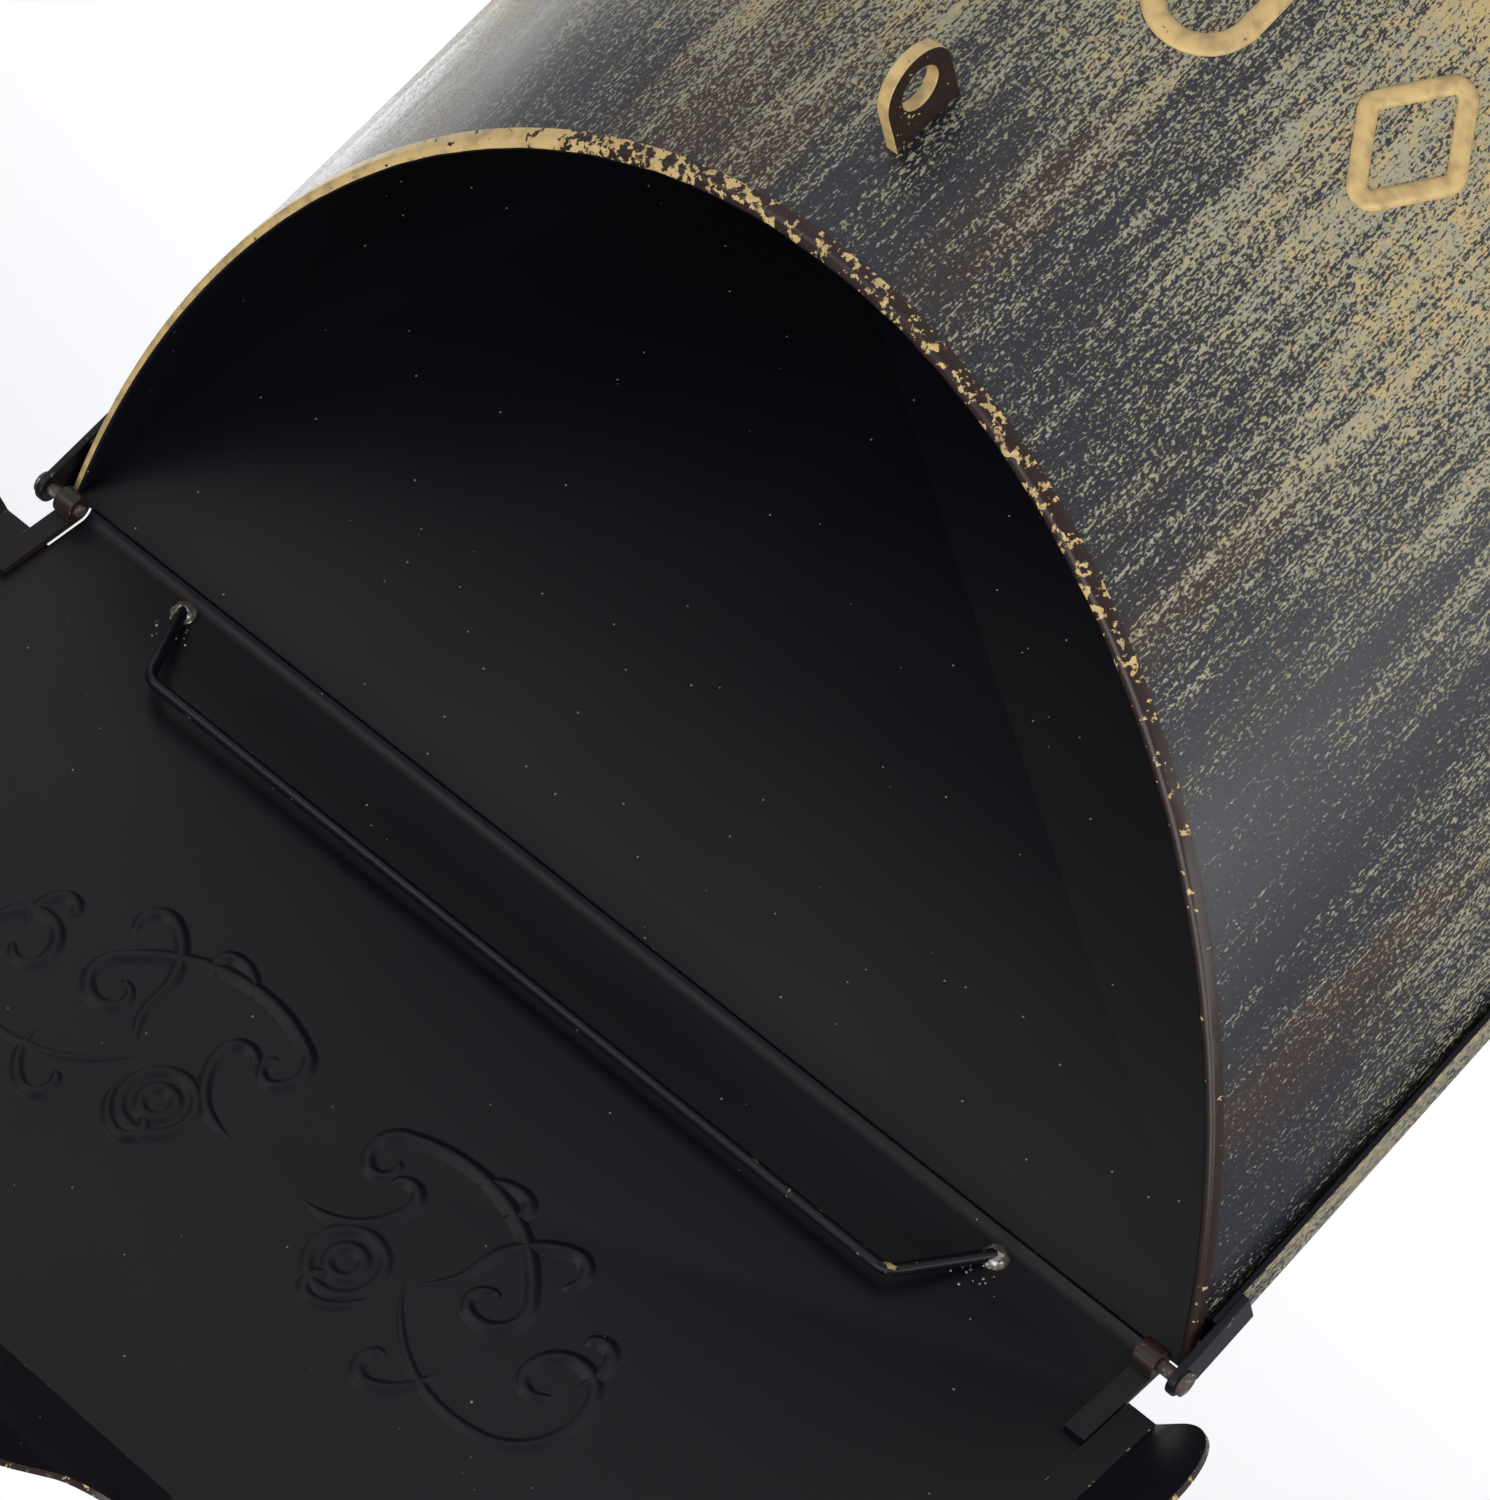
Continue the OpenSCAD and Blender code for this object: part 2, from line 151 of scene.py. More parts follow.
@dataclass(frozen=True)
class LidPlace:
    """The lid's own frame: X across, -Y along the lid from the hinge, Z out of its face."""

    axis: Vector
    open_angle: float = math.radians(75)
    face: float = 2.6 * MM

    @classmethod
    def from_frame(cls) -> "LidPlace":
        """Reads the hinge axis from the frame's joint."""
        joint = frame["record"]["behaviour"]["joints"][0]
        return cls(Vector(joint["pos_m"]))

    def matrix(self) -> Matrix:
        """Takes the lid's own frame to the object's frame at rest."""
        return Matrix.Translation(self.axis) @ Matrix.Rotation(-self.open_angle, 4, "X")

    def lift(self, x: float, y: float, h: float) -> Vector:
        """Point on the lid's inner face, h in front of it."""
        return self.matrix() @ Vector((x, y, self.face - h))


# ---------------------------------------------------------------- node graphs


@dataclass(frozen=True)
class Grain:
    """One noise texture: scale, detail, roughness and its frequency along Z next to the other two."""

    scale: object
    detail: float = 2.0
    rough: float = 0.5
    along_z: float = 1.0


class Graph:
    """A node tree while it is put together."""

    def __init__(self, tree: Tree) -> None:
        """Keeps the tree."""
        self.tree = tree

    def fill(self, target: Socket, value: object) -> None:
        """Links an input to a socket, or gives it a plain value."""
        if isinstance(value, Socket):
            self.tree.links.new(value, target)
        else:
            target.default_value = value

    def add(self, kind: str, inputs: dict | None = None, **settings: object) -> Node:
        """Adds a node.

        Args:
            kind: The node's type.
            inputs: Values or sockets for its inputs, by name or number.
            settings: Properties of the node.

        Returns:
            The new node.
        """
        made = self.tree.nodes.new(kind)
        for key, value in settings.items():
            setattr(made, key, value)
        for key, value in (inputs or {}).items():
            self.fill(made.inputs[key], value)
        return made

    def math(self, operation: str, *values: object, clamp: bool = False) -> Socket:
        """Adds a Math node and returns its value."""
        made = self.add("ShaderNodeMath", dict(enumerate(values)), operation=operation, use_clamp=clamp)
        return made.outputs[0]

    def weighted(self, *pairs: tuple[Socket, float]) -> Socket:
        """Adds up values, each times its weight."""
        parts = [self.math("MULTIPLY", value, weight) for value, weight in pairs]
        total = parts[0]
        for part in parts[1:]:
            total = self.math("ADD", total, part)
        return total

    def grain(self, vector: object, texture: Grain) -> Socket:
        """Adds a noise texture and returns its value, about 0.5 in the middle."""
        if texture.along_z != 1.0:
            stretch = {0: vector, 1: (1.0, 1.0, texture.along_z)}
            vector = self.add("ShaderNodeVectorMath", stretch, operation="MULTIPLY").outputs[0]
        return self.add(
            "ShaderNodeTexNoise",
            {"Vector": vector, "Scale": texture.scale, "Detail": texture.detail, "Roughness": texture.rough},
        ).outputs[0]

    def step(self, value: object, low: object, high: object, start: float = 0.0, end: float = 1.0) -> Socket:
        """Adds a smooth step from low to high and returns its value."""
        return self.add(
            "ShaderNodeMapRange",
            {"Value": value, "From Min": low, "From Max": high, "To Min": start, "To Max": end},
            interpolation_type="SMOOTHSTEP",
        ).outputs[0]

    def cut(self, value: Socket, bar: Socket, blur: float) -> Socket:
        """Mask of the places where a value is over a bar, blurred this far either way."""
        return self.step(value, self.math("SUBTRACT", bar, blur), self.math("ADD", bar, blur))

    def blend(self, share: object, first: object, second: object) -> Socket:
        """Mixes two colours by a share and returns the colour."""
        return self.add("ShaderNodeMix", {0: share, 6: first, 7: second}, data_type="RGBA").outputs[2]


def new_group(
    name: str, kind: str, inputs: dict[str, tuple[str, object]], outputs: dict[str, str]
) -> tuple[Graph, Node, Node]:
    """Starts a node group with named sockets.

    Args:
        name: Name of the group.
        kind: ShaderNodeTree or GeometryNodeTree.
        inputs: Socket type and default of each input.
        outputs: Socket type of each output.

    Returns:
        The graph, the Group Input node and the Group Output node.
    """
    tree = bpy.data.node_groups.new(name, kind)
    for label, (socket_type, default) in inputs.items():
        socket = tree.interface.new_socket(name=label, in_out="INPUT", socket_type=socket_type)
        if default is not None:
            socket.default_value = default
    for label, socket_type in outputs.items():
        tree.interface.new_socket(name=label, in_out="OUTPUT", socket_type=socket_type)
    graph = Graph(tree)
    return graph, graph.add("NodeGroupInput"), graph.add("NodeGroupOutput")


class Effects:
    """Shader node groups that several finishes share. Each takes a place and gives one number."""

    def __init__(self) -> None:
        """Builds every group once."""
        self.strokes = self._strokes()
        self.dust = self._dust()
        self.skin = self._skin()
        self.wear = self._wear()

    @staticmethod
    def _start(name: str, output: str, **numbers: float) -> tuple[Graph, dict[str, Socket], Socket]:
        """Starts a group.

        Args:
            name: Name of the group.
            output: Name of its output.
            numbers: Its number inputs and their defaults.

        Returns:
            The graph, the group's inputs by name and the socket that takes its result.
        """
        inputs: dict[str, tuple[str, object]] = {"Vector": ("NodeSocketVector", None)}
        for label, default in numbers.items():
            inputs[label] = ("NodeSocketFloat", default)
        graph, start, end = new_group(name, "ShaderNodeTree", inputs, {output: "NodeSocketFloat"})
        return graph, {label: start.outputs[label] for label in inputs}, end.inputs[output]

    @classmethod
    def _strokes(cls) -> Tree:
        """Dry brush strokes along Z, broken into short specks: Coverage 0 is bare, 1 is full."""
        graph, given, result = cls._start("brush_strokes", "Mask", Scale=1.0, Coverage=0.5)
        sized = graph.add("ShaderNodeVectorMath", {0: given["Vector"], 3: given["Scale"]}, operation="SCALE")
        place = sized.outputs[0]
        bristle = graph.grain(place, Grain(1900.0, 2.0, 0.6, 0.035))
        broad = graph.grain(place, Grain(260.0, 3.0, 0.6, 0.07))
        speck = graph.grain(place, Grain(2300.0, 2.0, 0.6, 0.5))
        body = graph.weighted((bristle, 0.24), (broad, 0.20), (speck, 0.56))
        bar = graph.step(given["Coverage"], 0.0, 1.0, 0.62, 0.38)
        graph.fill(result, graph.cut(body, bar, 0.045))
        return graph.tree

    @classmethod
    def _dust(cls) -> Tree:
        """Tiny pale specks, one in some of the cells."""
        graph, given, result = cls._start("dust_specks", "Mask", Cells=90.0, Share=0.4, Radius=0.02)
        cells = graph.add("ShaderNodeTexVoronoi", {"Vector": given["Vector"], "Scale": given["Cells"]})
        pick = graph.add("ShaderNodeSeparateColor", {0: cells.outputs["Color"]})
        chosen = graph.math("LESS_THAN", pick.outputs[0], given["Share"])
        radius = graph.math("MULTIPLY", given["Radius"], graph.math("ADD", pick.outputs[1], 0.4))
        near = graph.math("LESS_THAN", cells.outputs["Distance"], radius)
        graph.fill(result, graph.math("MULTIPLY", chosen, near))
        return graph.tree

    @classmethod
    def _skin(cls) -> Tree:
        """Height of sprayed paint: a fine skin over slow waves."""
        graph, given, result = cls._start("paint_skin", "Height", Fine=1400.0, Waves=18.0)
        fine = graph.grain(given["Vector"], Grain(given["Fine"], 2.0))
        waves = graph.grain(given["Vector"], Grain(given["Waves"], 1.0))
        graph.fill(result, graph.weighted((fine, 0.35), (waves, 1.6)))
        return graph.tree

    @classmethod
    def _wear(cls) -> Tree:
        """Ragged patches where a top coat is rubbed off."""
        graph, given, result = cls._start("rubbed_patches", "Mask", Amount=0.5, Scale=160.0)
        big = graph.grain(given["Vector"], Grain(given["Scale"], 4.0, 0.65))
        small = graph.grain(given["Vector"], Grain(1100.0, 2.0))
        bar = graph.step(given["Amount"], 0.0, 1.0, 0.66, 0.36)
        graph.fill(result, graph.cut(graph.weighted((big, 0.7), (small, 0.3)), bar, 0.02))
        return graph.tree


# ---------------------------------------------------------------- finishes


@dataclass(frozen=True)
class Relief:
    """Fine relief of a finish: scales of its skin and waves, strength and depth of the bump."""

    fine: float
    waves: float
    strength: float
    depth: float


class Paint(Graph):
    """A material while it is put together."""

    def __init__(self, name: str) -> None:
        """Starts the material, its Principled BSDF and the object's coordinates."""
        self.material = bpy.data.materials.new(name)
        self.material.use_nodes = True
        super().__init__(self.material.node_tree)
        self.shader = self.tree.nodes["Principled BSDF"]
        self.place = self.add("ShaderNodeTexCoord").outputs["Object"]

    def put(self, name: str, value: object) -> None:
        """Gives one of the shader's inputs a value or a link."""
        self.fill(self.shader.inputs[name], value)

    def effect(self, group: Tree, **inputs: object) -> Socket:
        """Places a group with its own values and returns its result."""
        return self.add("ShaderNodeGroup", {"Vector": self.place, **inputs}, node_tree=group).outputs[0]

    def skin(self, effects: Effects, relief: Relief) -> Socket:
        """Height of the sprayed skin."""
        return self.effect(effects.skin, Fine=relief.fine, Waves=relief.waves)

    def bump(self, height: Socket, relief: Relief) -> None:
        """Bumps the shader's normal by a height."""
        values = {"Height": height, "Strength": relief.strength, "Distance": relief.depth}
        self.put("Normal", self.add("ShaderNodeBump", values).outputs[0])


@dataclass(frozen=True)
class BrushedPaint:
    """Dark paint with dry-brushed gilt over it, on the outer faces."""

    name: str = "brushed_paint"
    dark: Colour = (0.010, 0.012, 0.017, 1)
    warm: Colour = (0.026, 0.012, 0.010, 1)
    warm_step: Span = (0.52, 0.66)
    gilt: Colour = (0.42, 0.315, 0.140, 1)
    olive: Colour = (0.29, 0.27, 0.185, 1)
    tone_step: Span = (0.50, 0.92)
    tone: Grain = Grain(420.0, 3.0)
    blotch: Grain = Grain(14.0, 2.0, 0.5, 0.6)
    blotch_share: float = 0.40
    patch: Grain = Grain(52.0, 3.0, 0.55, 0.16)
    patch_share: float = 0.50
    coverage: float = 0.47
    thick_step: Span = (0.35, 0.9)
    thick_share: float = 0.45
    band_z: float = 0.000
    band_reach: float = 0.10
    band_gain: float = 0.21
    band_grain: Grain = Grain(11.0, 1.0)
    band_step: Steps = (0.36, 0.58, 0.35, 1.15)
    flank_x: Span = (-0.085, -0.115)
    flank_loss: float = 0.12
    # More gilt on the +X flank: partly denser brushing, partly a painted sheen where that flank catches the
    # light.
    gilt_and_sheen_x: Span = (0.035, 0.10)
    gilt_and_sheen_gain: float = 0.04
    rim_top: float = 0.180
    rim_reach: float = 0.075
    rim_loss: float = 0.20
    opacity: float = 0.93
    roughness: Steps = (0.3, 0.7, 0.30, 0.40)
    gilt_roughness: float = 0.20
    gilt_height: float = 0.55
    skin_height: float = 0.35
    relief: Relief = Relief(1500.0, 9.0, 0.55, 0.00022)
    specular: float = 0.45

    def cover(self, paint: Paint, patch: Socket) -> Socket:
        """How much gilt lies where: more in a band, less on the -X flank and under the rim, and a little more
        on the +X flank, partly its denser gilt and partly a painted sheen.
        """
        across, depth, up = paint.add("ShaderNodeSeparateXYZ", {0: paint.place}).outputs
        blotch = paint.grain(paint.place, self.blotch)
        away = paint.math("ABSOLUTE", paint.math("SUBTRACT", up, self.band_z))
        band = paint.step(away, 0.0, self.band_reach, self.band_gain, 0.0)
        gaps = paint.step(paint.grain(paint.place, self.band_grain), *self.band_step)
        band = paint.math("MULTIPLY", band, gaps)
        flank = paint.step(across, *self.flank_x, 0.0, -self.flank_loss)
        # +X flank made lighter: partly denser gilt, partly a painted sheen.
        flank = paint.math("ADD", flank, paint.step(across, *self.gilt_and_sheen_x, 0.0, self.gilt_and_sheen_gain))
        level = paint.math("ADD", up, paint.math("MULTIPLY", depth, -math.tan(RIM_SLOPE)))
        below = paint.math("SUBTRACT", self.rim_top, level)
        near_rim = paint.step(below, 0.0, self.rim_reach, -self.rim_loss, 0.0)
        uneven = paint.weighted(
            (paint.math("SUBTRACT", blotch, 0.5), self.blotch_share),
            (paint.math("SUBTRACT", patch, 0.5), self.patch_share),
        )
        cover = paint.math("ADD", paint.math("ADD", band, flank), paint.math("ADD", uneven, near_rim))
        return paint.math("ADD", cover, self.coverage, clamp=True)

    def material(self, effects: Effects) -> Material:
        """Builds the material."""
        paint = Paint(self.name)
        patch = paint.grain(paint.place, self.patch)
        cover = self.cover(paint, patch)
        mask = paint.effect(effects.strokes, Scale=1.0, Coverage=cover)
        under = paint.blend(paint.step(patch, *self.warm_step), self.dark, self.warm)
        thick = paint.math("MULTIPLY", paint.step(cover, *self.thick_step), self.thick_share)
        tone = paint.math("ADD", paint.grain(paint.place, self.tone), thick)
        top = paint.blend(paint.step(tone, *self.tone_step), self.olive, self.gilt)
        paint.put("Base Color", paint.blend(paint.math("MULTIPLY", mask, self.opacity), under, top))
        rough = paint.math("MULTIPLY", mask, self.gilt_roughness)
        paint.put("Roughness", paint.math("ADD", rough, paint.step(patch, *self.roughness)))
        skin = paint.skin(effects, self.relief)
        paint.bump(paint.weighted((mask, self.gilt_height), (skin, self.skin_height)), self.relief)
        paint.put("Specular IOR Level", self.specular)
        return paint.material


@dataclass(frozen=True)
class SatinBlack:
    """Smooth satin black with a little dust, on the inner faces and the wire."""

    name: str = "satin_black"
    black: Colour = (0.0040, 0.0040, 0.0066, 1)
    speck: Colour = (0.34, 0.33, 0.31, 1)
    speck_opacity: float = 0.8
    speck_roughness: float = 0.3
    dust_cells: float = 270.0
    dust_share: float = 0.55
    dust_radius: float = 0.042
    chip: Colour = (0.34, 0.24, 0.09, 1)
    chip_amount: float = 0.0
    chip_scale: float = 240.0
    chip_opacity: float = 0.85
    roughness: float = 0.44
    cloud: Grain = Grain(22.0, 2.0)
    cloud_step: Span = (0.3, 0.7)
    cloud_low: float = 0.03
    cloud_high: float = 0.04
    relief: Relief = Relief(1900.0, 11.0, 0.22, 0.00012)
    specular: float = 0.24

    def material(self, effects: Effects) -> Material:
        """Builds the material."""
        paint = Paint(self.name)
        specks = {"Cells": self.dust_cells, "Share": self.dust_share, "Radius": self.dust_radius}
        dust = paint.effect(effects.dust, **specks)
        colour = paint.blend(paint.math("MULTIPLY", dust, self.speck_opacity), self.black, self.speck)
        if self.chip_amount > 0:
            chips = paint.effect(effects.wear, Amount=self.chip_amount, Scale=self.chip_scale)
            colour = paint.blend(paint.math("MULTIPLY", chips, self.chip_opacity), colour, self.chip)
        paint.put("Base Color", colour)
        span = (self.roughness - self.cloud_low, self.roughness + self.cloud_high)
        rough = paint.step(paint.grain(paint.place, self.cloud), *self.cloud_step, *span)
        paint.put("Roughness", paint.math("ADD", rough, paint.math("MULTIPLY", dust, self.speck_roughness)))
        paint.bump(paint.skin(effects, self.relief), self.relief)
        paint.put("Specular IOR Level", self.specular)
        return paint.material


@dataclass(frozen=True)
class WornGilt:
    """Gilt paint over brown, rubbed through in patches, on edges and raised work."""

    name: str = "worn_gilt"
    gilt: Colour = (0.50, 0.355, 0.150, 1)
    deep: Colour = (0.33, 0.235, 0.105, 1)
    bare: Colour = (0.020, 0.0105, 0.0085, 1)
    tone: Grain = Grain(320.0, 3.0)
    tone_step: Span = (0.30, 0.60)
    wear: float = 0.35
    wear_scale: float = 430.0
    gilt_side: float = 0.0
    gilt_x: Span = (0.0, 0.10)
    worn_side: float = 0.0
    worn_x: Span = (-0.060, -0.125)
    roughness: float = 0.42
    bare_gloss: float = 0.08
    bare_depth: float = 0.8
    relief: Relief = Relief(1300.0, 120.0, 0.4, 0.0001)
    specular: float = 0.3

    def material(self, effects: Effects) -> Material:
        """Builds the material: gilt_side is kept on the +X side and worn_side lost on the other."""
        paint = Paint(self.name)
        across = paint.add("ShaderNodeSeparateXYZ", {0: paint.place}).outputs[0]
        kept = paint.step(across, *self.gilt_x, 0.0, self.gilt_side)
        lost = paint.step(across, *self.worn_x, 0.0, self.worn_side)
        amount = paint.math("SUBTRACT", paint.math("ADD", self.wear, lost), kept, clamp=True)
        rubbed = paint.effect(effects.wear, Amount=amount, Scale=self.wear_scale)
        tone = paint.step(paint.grain(paint.place, self.tone), *self.tone_step)
        paint.put("Base Color", paint.blend(rubbed, paint.blend(tone, self.deep, self.gilt), self.bare))
        gloss = paint.math("MULTIPLY", rubbed, self.bare_gloss)
        paint.put("Roughness", paint.math("SUBTRACT", self.roughness, gloss))
        drop = paint.math("MULTIPLY", rubbed, self.bare_depth)
        paint.bump(paint.math("SUBTRACT", paint.skin(effects, self.relief), drop), self.relief)
        paint.put("Specular IOR Level", self.specular)
        return paint.material


@dataclass(frozen=True)
class TarnishedSteel:
    """Bare steel gone brown, with pale rubbed spots, on pins and welds."""

    name: str = "tarnished_steel"
    brown: Colour = (0.060, 0.042, 0.033, 1)
    pale: Colour = (0.36, 0.33, 0.29, 1)
    bright: float = 0.35
    spot_scale: float = 420.0
    spot_metal: float = 0.8
    roughness: Span = (0.55, 0.32)
    relief: Relief = Relief(1700.0, 500.0, 0.7, 0.0002)

    def material(self, effects: Effects) -> Material:
        """Builds the material."""
        paint = Paint(self.name)
        rubbed = paint.effect(effects.wear, Amount=self.bright, Scale=self.spot_scale)
        paint.put("Base Color", paint.blend(rubbed, self.brown, self.pale))
        paint.put("Metallic", paint.math("MULTIPLY", rubbed, self.spot_metal))
        paint.put("Roughness", paint.step(rubbed, 0.0, 1.0, *self.roughness))
        paint.bump(paint.skin(effects, self.relief), self.relief)
        return paint.material


class Finishes:
    """Every finish of the letterbox, built once."""

    def __init__(self, effects: Effects) -> None:
        """Builds the materials."""
        even = {"band_gain": 0.0, "flank_loss": 0.0, "rim_loss": 0.0, "gilt_and_sheen_gain": 0.0}
        wire = SatinBlack(name="wire_black", roughness=0.36, chip_amount=0.12, dust_share=0.1)
        self.shell = BrushedPaint().material(effects)
        self.hood = BrushedPaint(name="brushed_hood", coverage=0.50, **even).material(effects)
        self.inner = SatinBlack().material(effects)
        self.wire = wire.material(effects)
        self.rim = WornGilt(name="rim_gilt", wear=0.64, gilt_side=0.44, worn_side=0.28).material(effects)
        self.edge = WornGilt(name="edge_gilt", wear=0.72).material(effects)
        self.raised = WornGilt(name="raised_gilt", wear=0.10, roughness=0.36).material(effects)
        self.cast = WornGilt(name="cast_brown", wear=0.90).material(effects)
        self.steel = TarnishedSteel().material(effects)
        self.weld = TarnishedSteel(name="weld_metal", bright=0.62).material(effects)

    def sheet(self, outer: Material) -> list[Material]:
        """Materials of a sheet, in the order of Face."""
        return [outer, self.inner, self.edge]


# ---------------------------------------------------------------- mesh tools


def make_object(name: str, mesh: Mesh, materials: Iterable[Material]) -> Object:
    """Makes an object at the origin and gives it its materials."""
    made = bpy.data.objects.new(name, mesh)
    bpy.context.collection.objects.link(made)
    for index, material in enumerate(materials):
        if index < len(mesh.materials):
            mesh.materials[index] = material
        else:
            mesh.materials.append(material)
    return made


def baked(name: str, shape: bmesh.types.BMesh, sharp: float | None = None) -> Mesh:
    """Turns a BMesh into a smooth mesh and frees it.

    Args:
        name: Name of the mesh.
        shape: The BMesh.
        sharp: Edges sharper than this stay sharp, in degrees. None rounds them all.

    Returns:
        The mesh.
    """
    mesh = bpy.data.meshes.new(name)
    shape.to_mesh(mesh)
    shape.free()
    mesh.shade_smooth()
    if sharp is not None:
        mesh.set_sharp_from_angle(angle=math.radians(sharp))
    return mesh


def mesh_from(name: str, points: Sequence[Vector], faces: Sequence[Sequence[int]], sharp: float) -> Mesh:
    """Makes a closed mesh with outward faces.

    Args:
        name: Name of the mesh.
        points: Its vertices.
        faces: Vertex numbers of each face.
        sharp: Edges sharper than this stay sharp, in degrees.

    Returns:
        The mesh.
    """
    shape = bmesh.new()
    vertices = [shape.verts.new(p) for p in points]
    for face in faces:
        shape.faces.new([vertices[i] for i in face])
    bmesh.ops.remove_doubles(shape, verts=shape.verts, dist=1e-7)
    bmesh.ops.recalc_face_normals(shape, faces=shape.faces)
    return baked(name, shape, sharp)


def swept(name: str, rings: Sequence[Sequence[Vector]], closed: bool, sharp: float) -> Mesh:
    """Joins rings of points into a tube, with caps where it is open.

    Args:
        name: Name of the mesh.
        rings: Equal rings of points, one after another.
        closed: True if the last ring joins the first.
        sharp: Edges sharper than this stay sharp, in degrees.

    Returns:
        The mesh.
    """
    count = len(rings[0])
    points = [p for ring in rings for p in ring]
    faces: list[list[int]] = []
    for i in range(len(rings) if closed else len(rings) - 1):
        here, there = i * count, (i + 1) % len(rings) * count
        for k in range(count):
            nxt = (k + 1) % count
            faces.append([here + k, here + nxt, there + nxt, there + k])
    if not closed:
        faces.append(list(range(count)))
        faces.append([len(points) - count + k for k in range(count)])
    return mesh_from(name, points, faces, sharp)


def softened(node: str, width: float, is_inner: Callable[[Vector], bool], thin: float) -> Mesh:
    """Copies a CAD node with its sharp edges rounded and its faces sorted by Face.

    Args:
        node: Name of the CAD node.
        width: Width of the rounding.
        is_inner: Says if a face with this normal is an inner one.
        thin: Faces narrower than this are edges.

    Returns:
        The new mesh.
    """
    flat, corner = math.radians(0.6), math.radians(32)
    shape = bmesh.new()
    shape.from_mesh(frame["nodes"][node].data)
    bmesh.ops.remove_doubles(shape, verts=shape.verts, dist=2e-6)
    bmesh.ops.dissolve_limit(shape, angle_limit=flat, verts=shape.verts, edges=shape.edges)
    sharp = [e for e in shape.edges if len(e.link_faces) == 2 and e.calc_face_angle(0.0) > corner]
    bmesh.ops.bevel(
        shape, geom=sharp, offset=width, segments=2, profile=0.6, affect="EDGES", clamp_overlap=True
    )
    for face in shape.faces:
        longest = max(edge.calc_length() for edge in face.edges)
        if face.calc_area() / longest < thin:
            face.material_index = Face.EDGE
        else:
            face.material_index = Face.INNER if is_inner(face.normal) else Face.OUTER
    return baked(node + "_soft", shape, 24.0)


def run_tree(name: str, mesh: Mesh, tree: Tree, values: dict[str, object]) -> Mesh:
    """Runs a Geometry Nodes tree on a mesh.

    Args:
        name: Name of the result.
        mesh: The mesh that goes in.
        tree: The tree.
        values: The tree's inputs by name.

    Returns:
        A plain mesh.
    """
    holder = bpy.data.objects.new(name + "_holder", mesh)
    bpy.context.collection.objects.link(holder)
    modifier = holder.modifiers.new("nodes", "NODES")
    modifier.node_group = tree
    for item in tree.interface.items_tree:
        if item.item_type == "SOCKET" and item.in_out == "INPUT" and item.name in values:
            modifier[item.identifier] = values[item.name]
    graph = bpy.context.evaluated_depsgraph_get()
    result = bpy.data.meshes.new_from_object(holder.evaluated_get(graph))
    result.name = name
    bpy.data.objects.remove(holder)
    return result


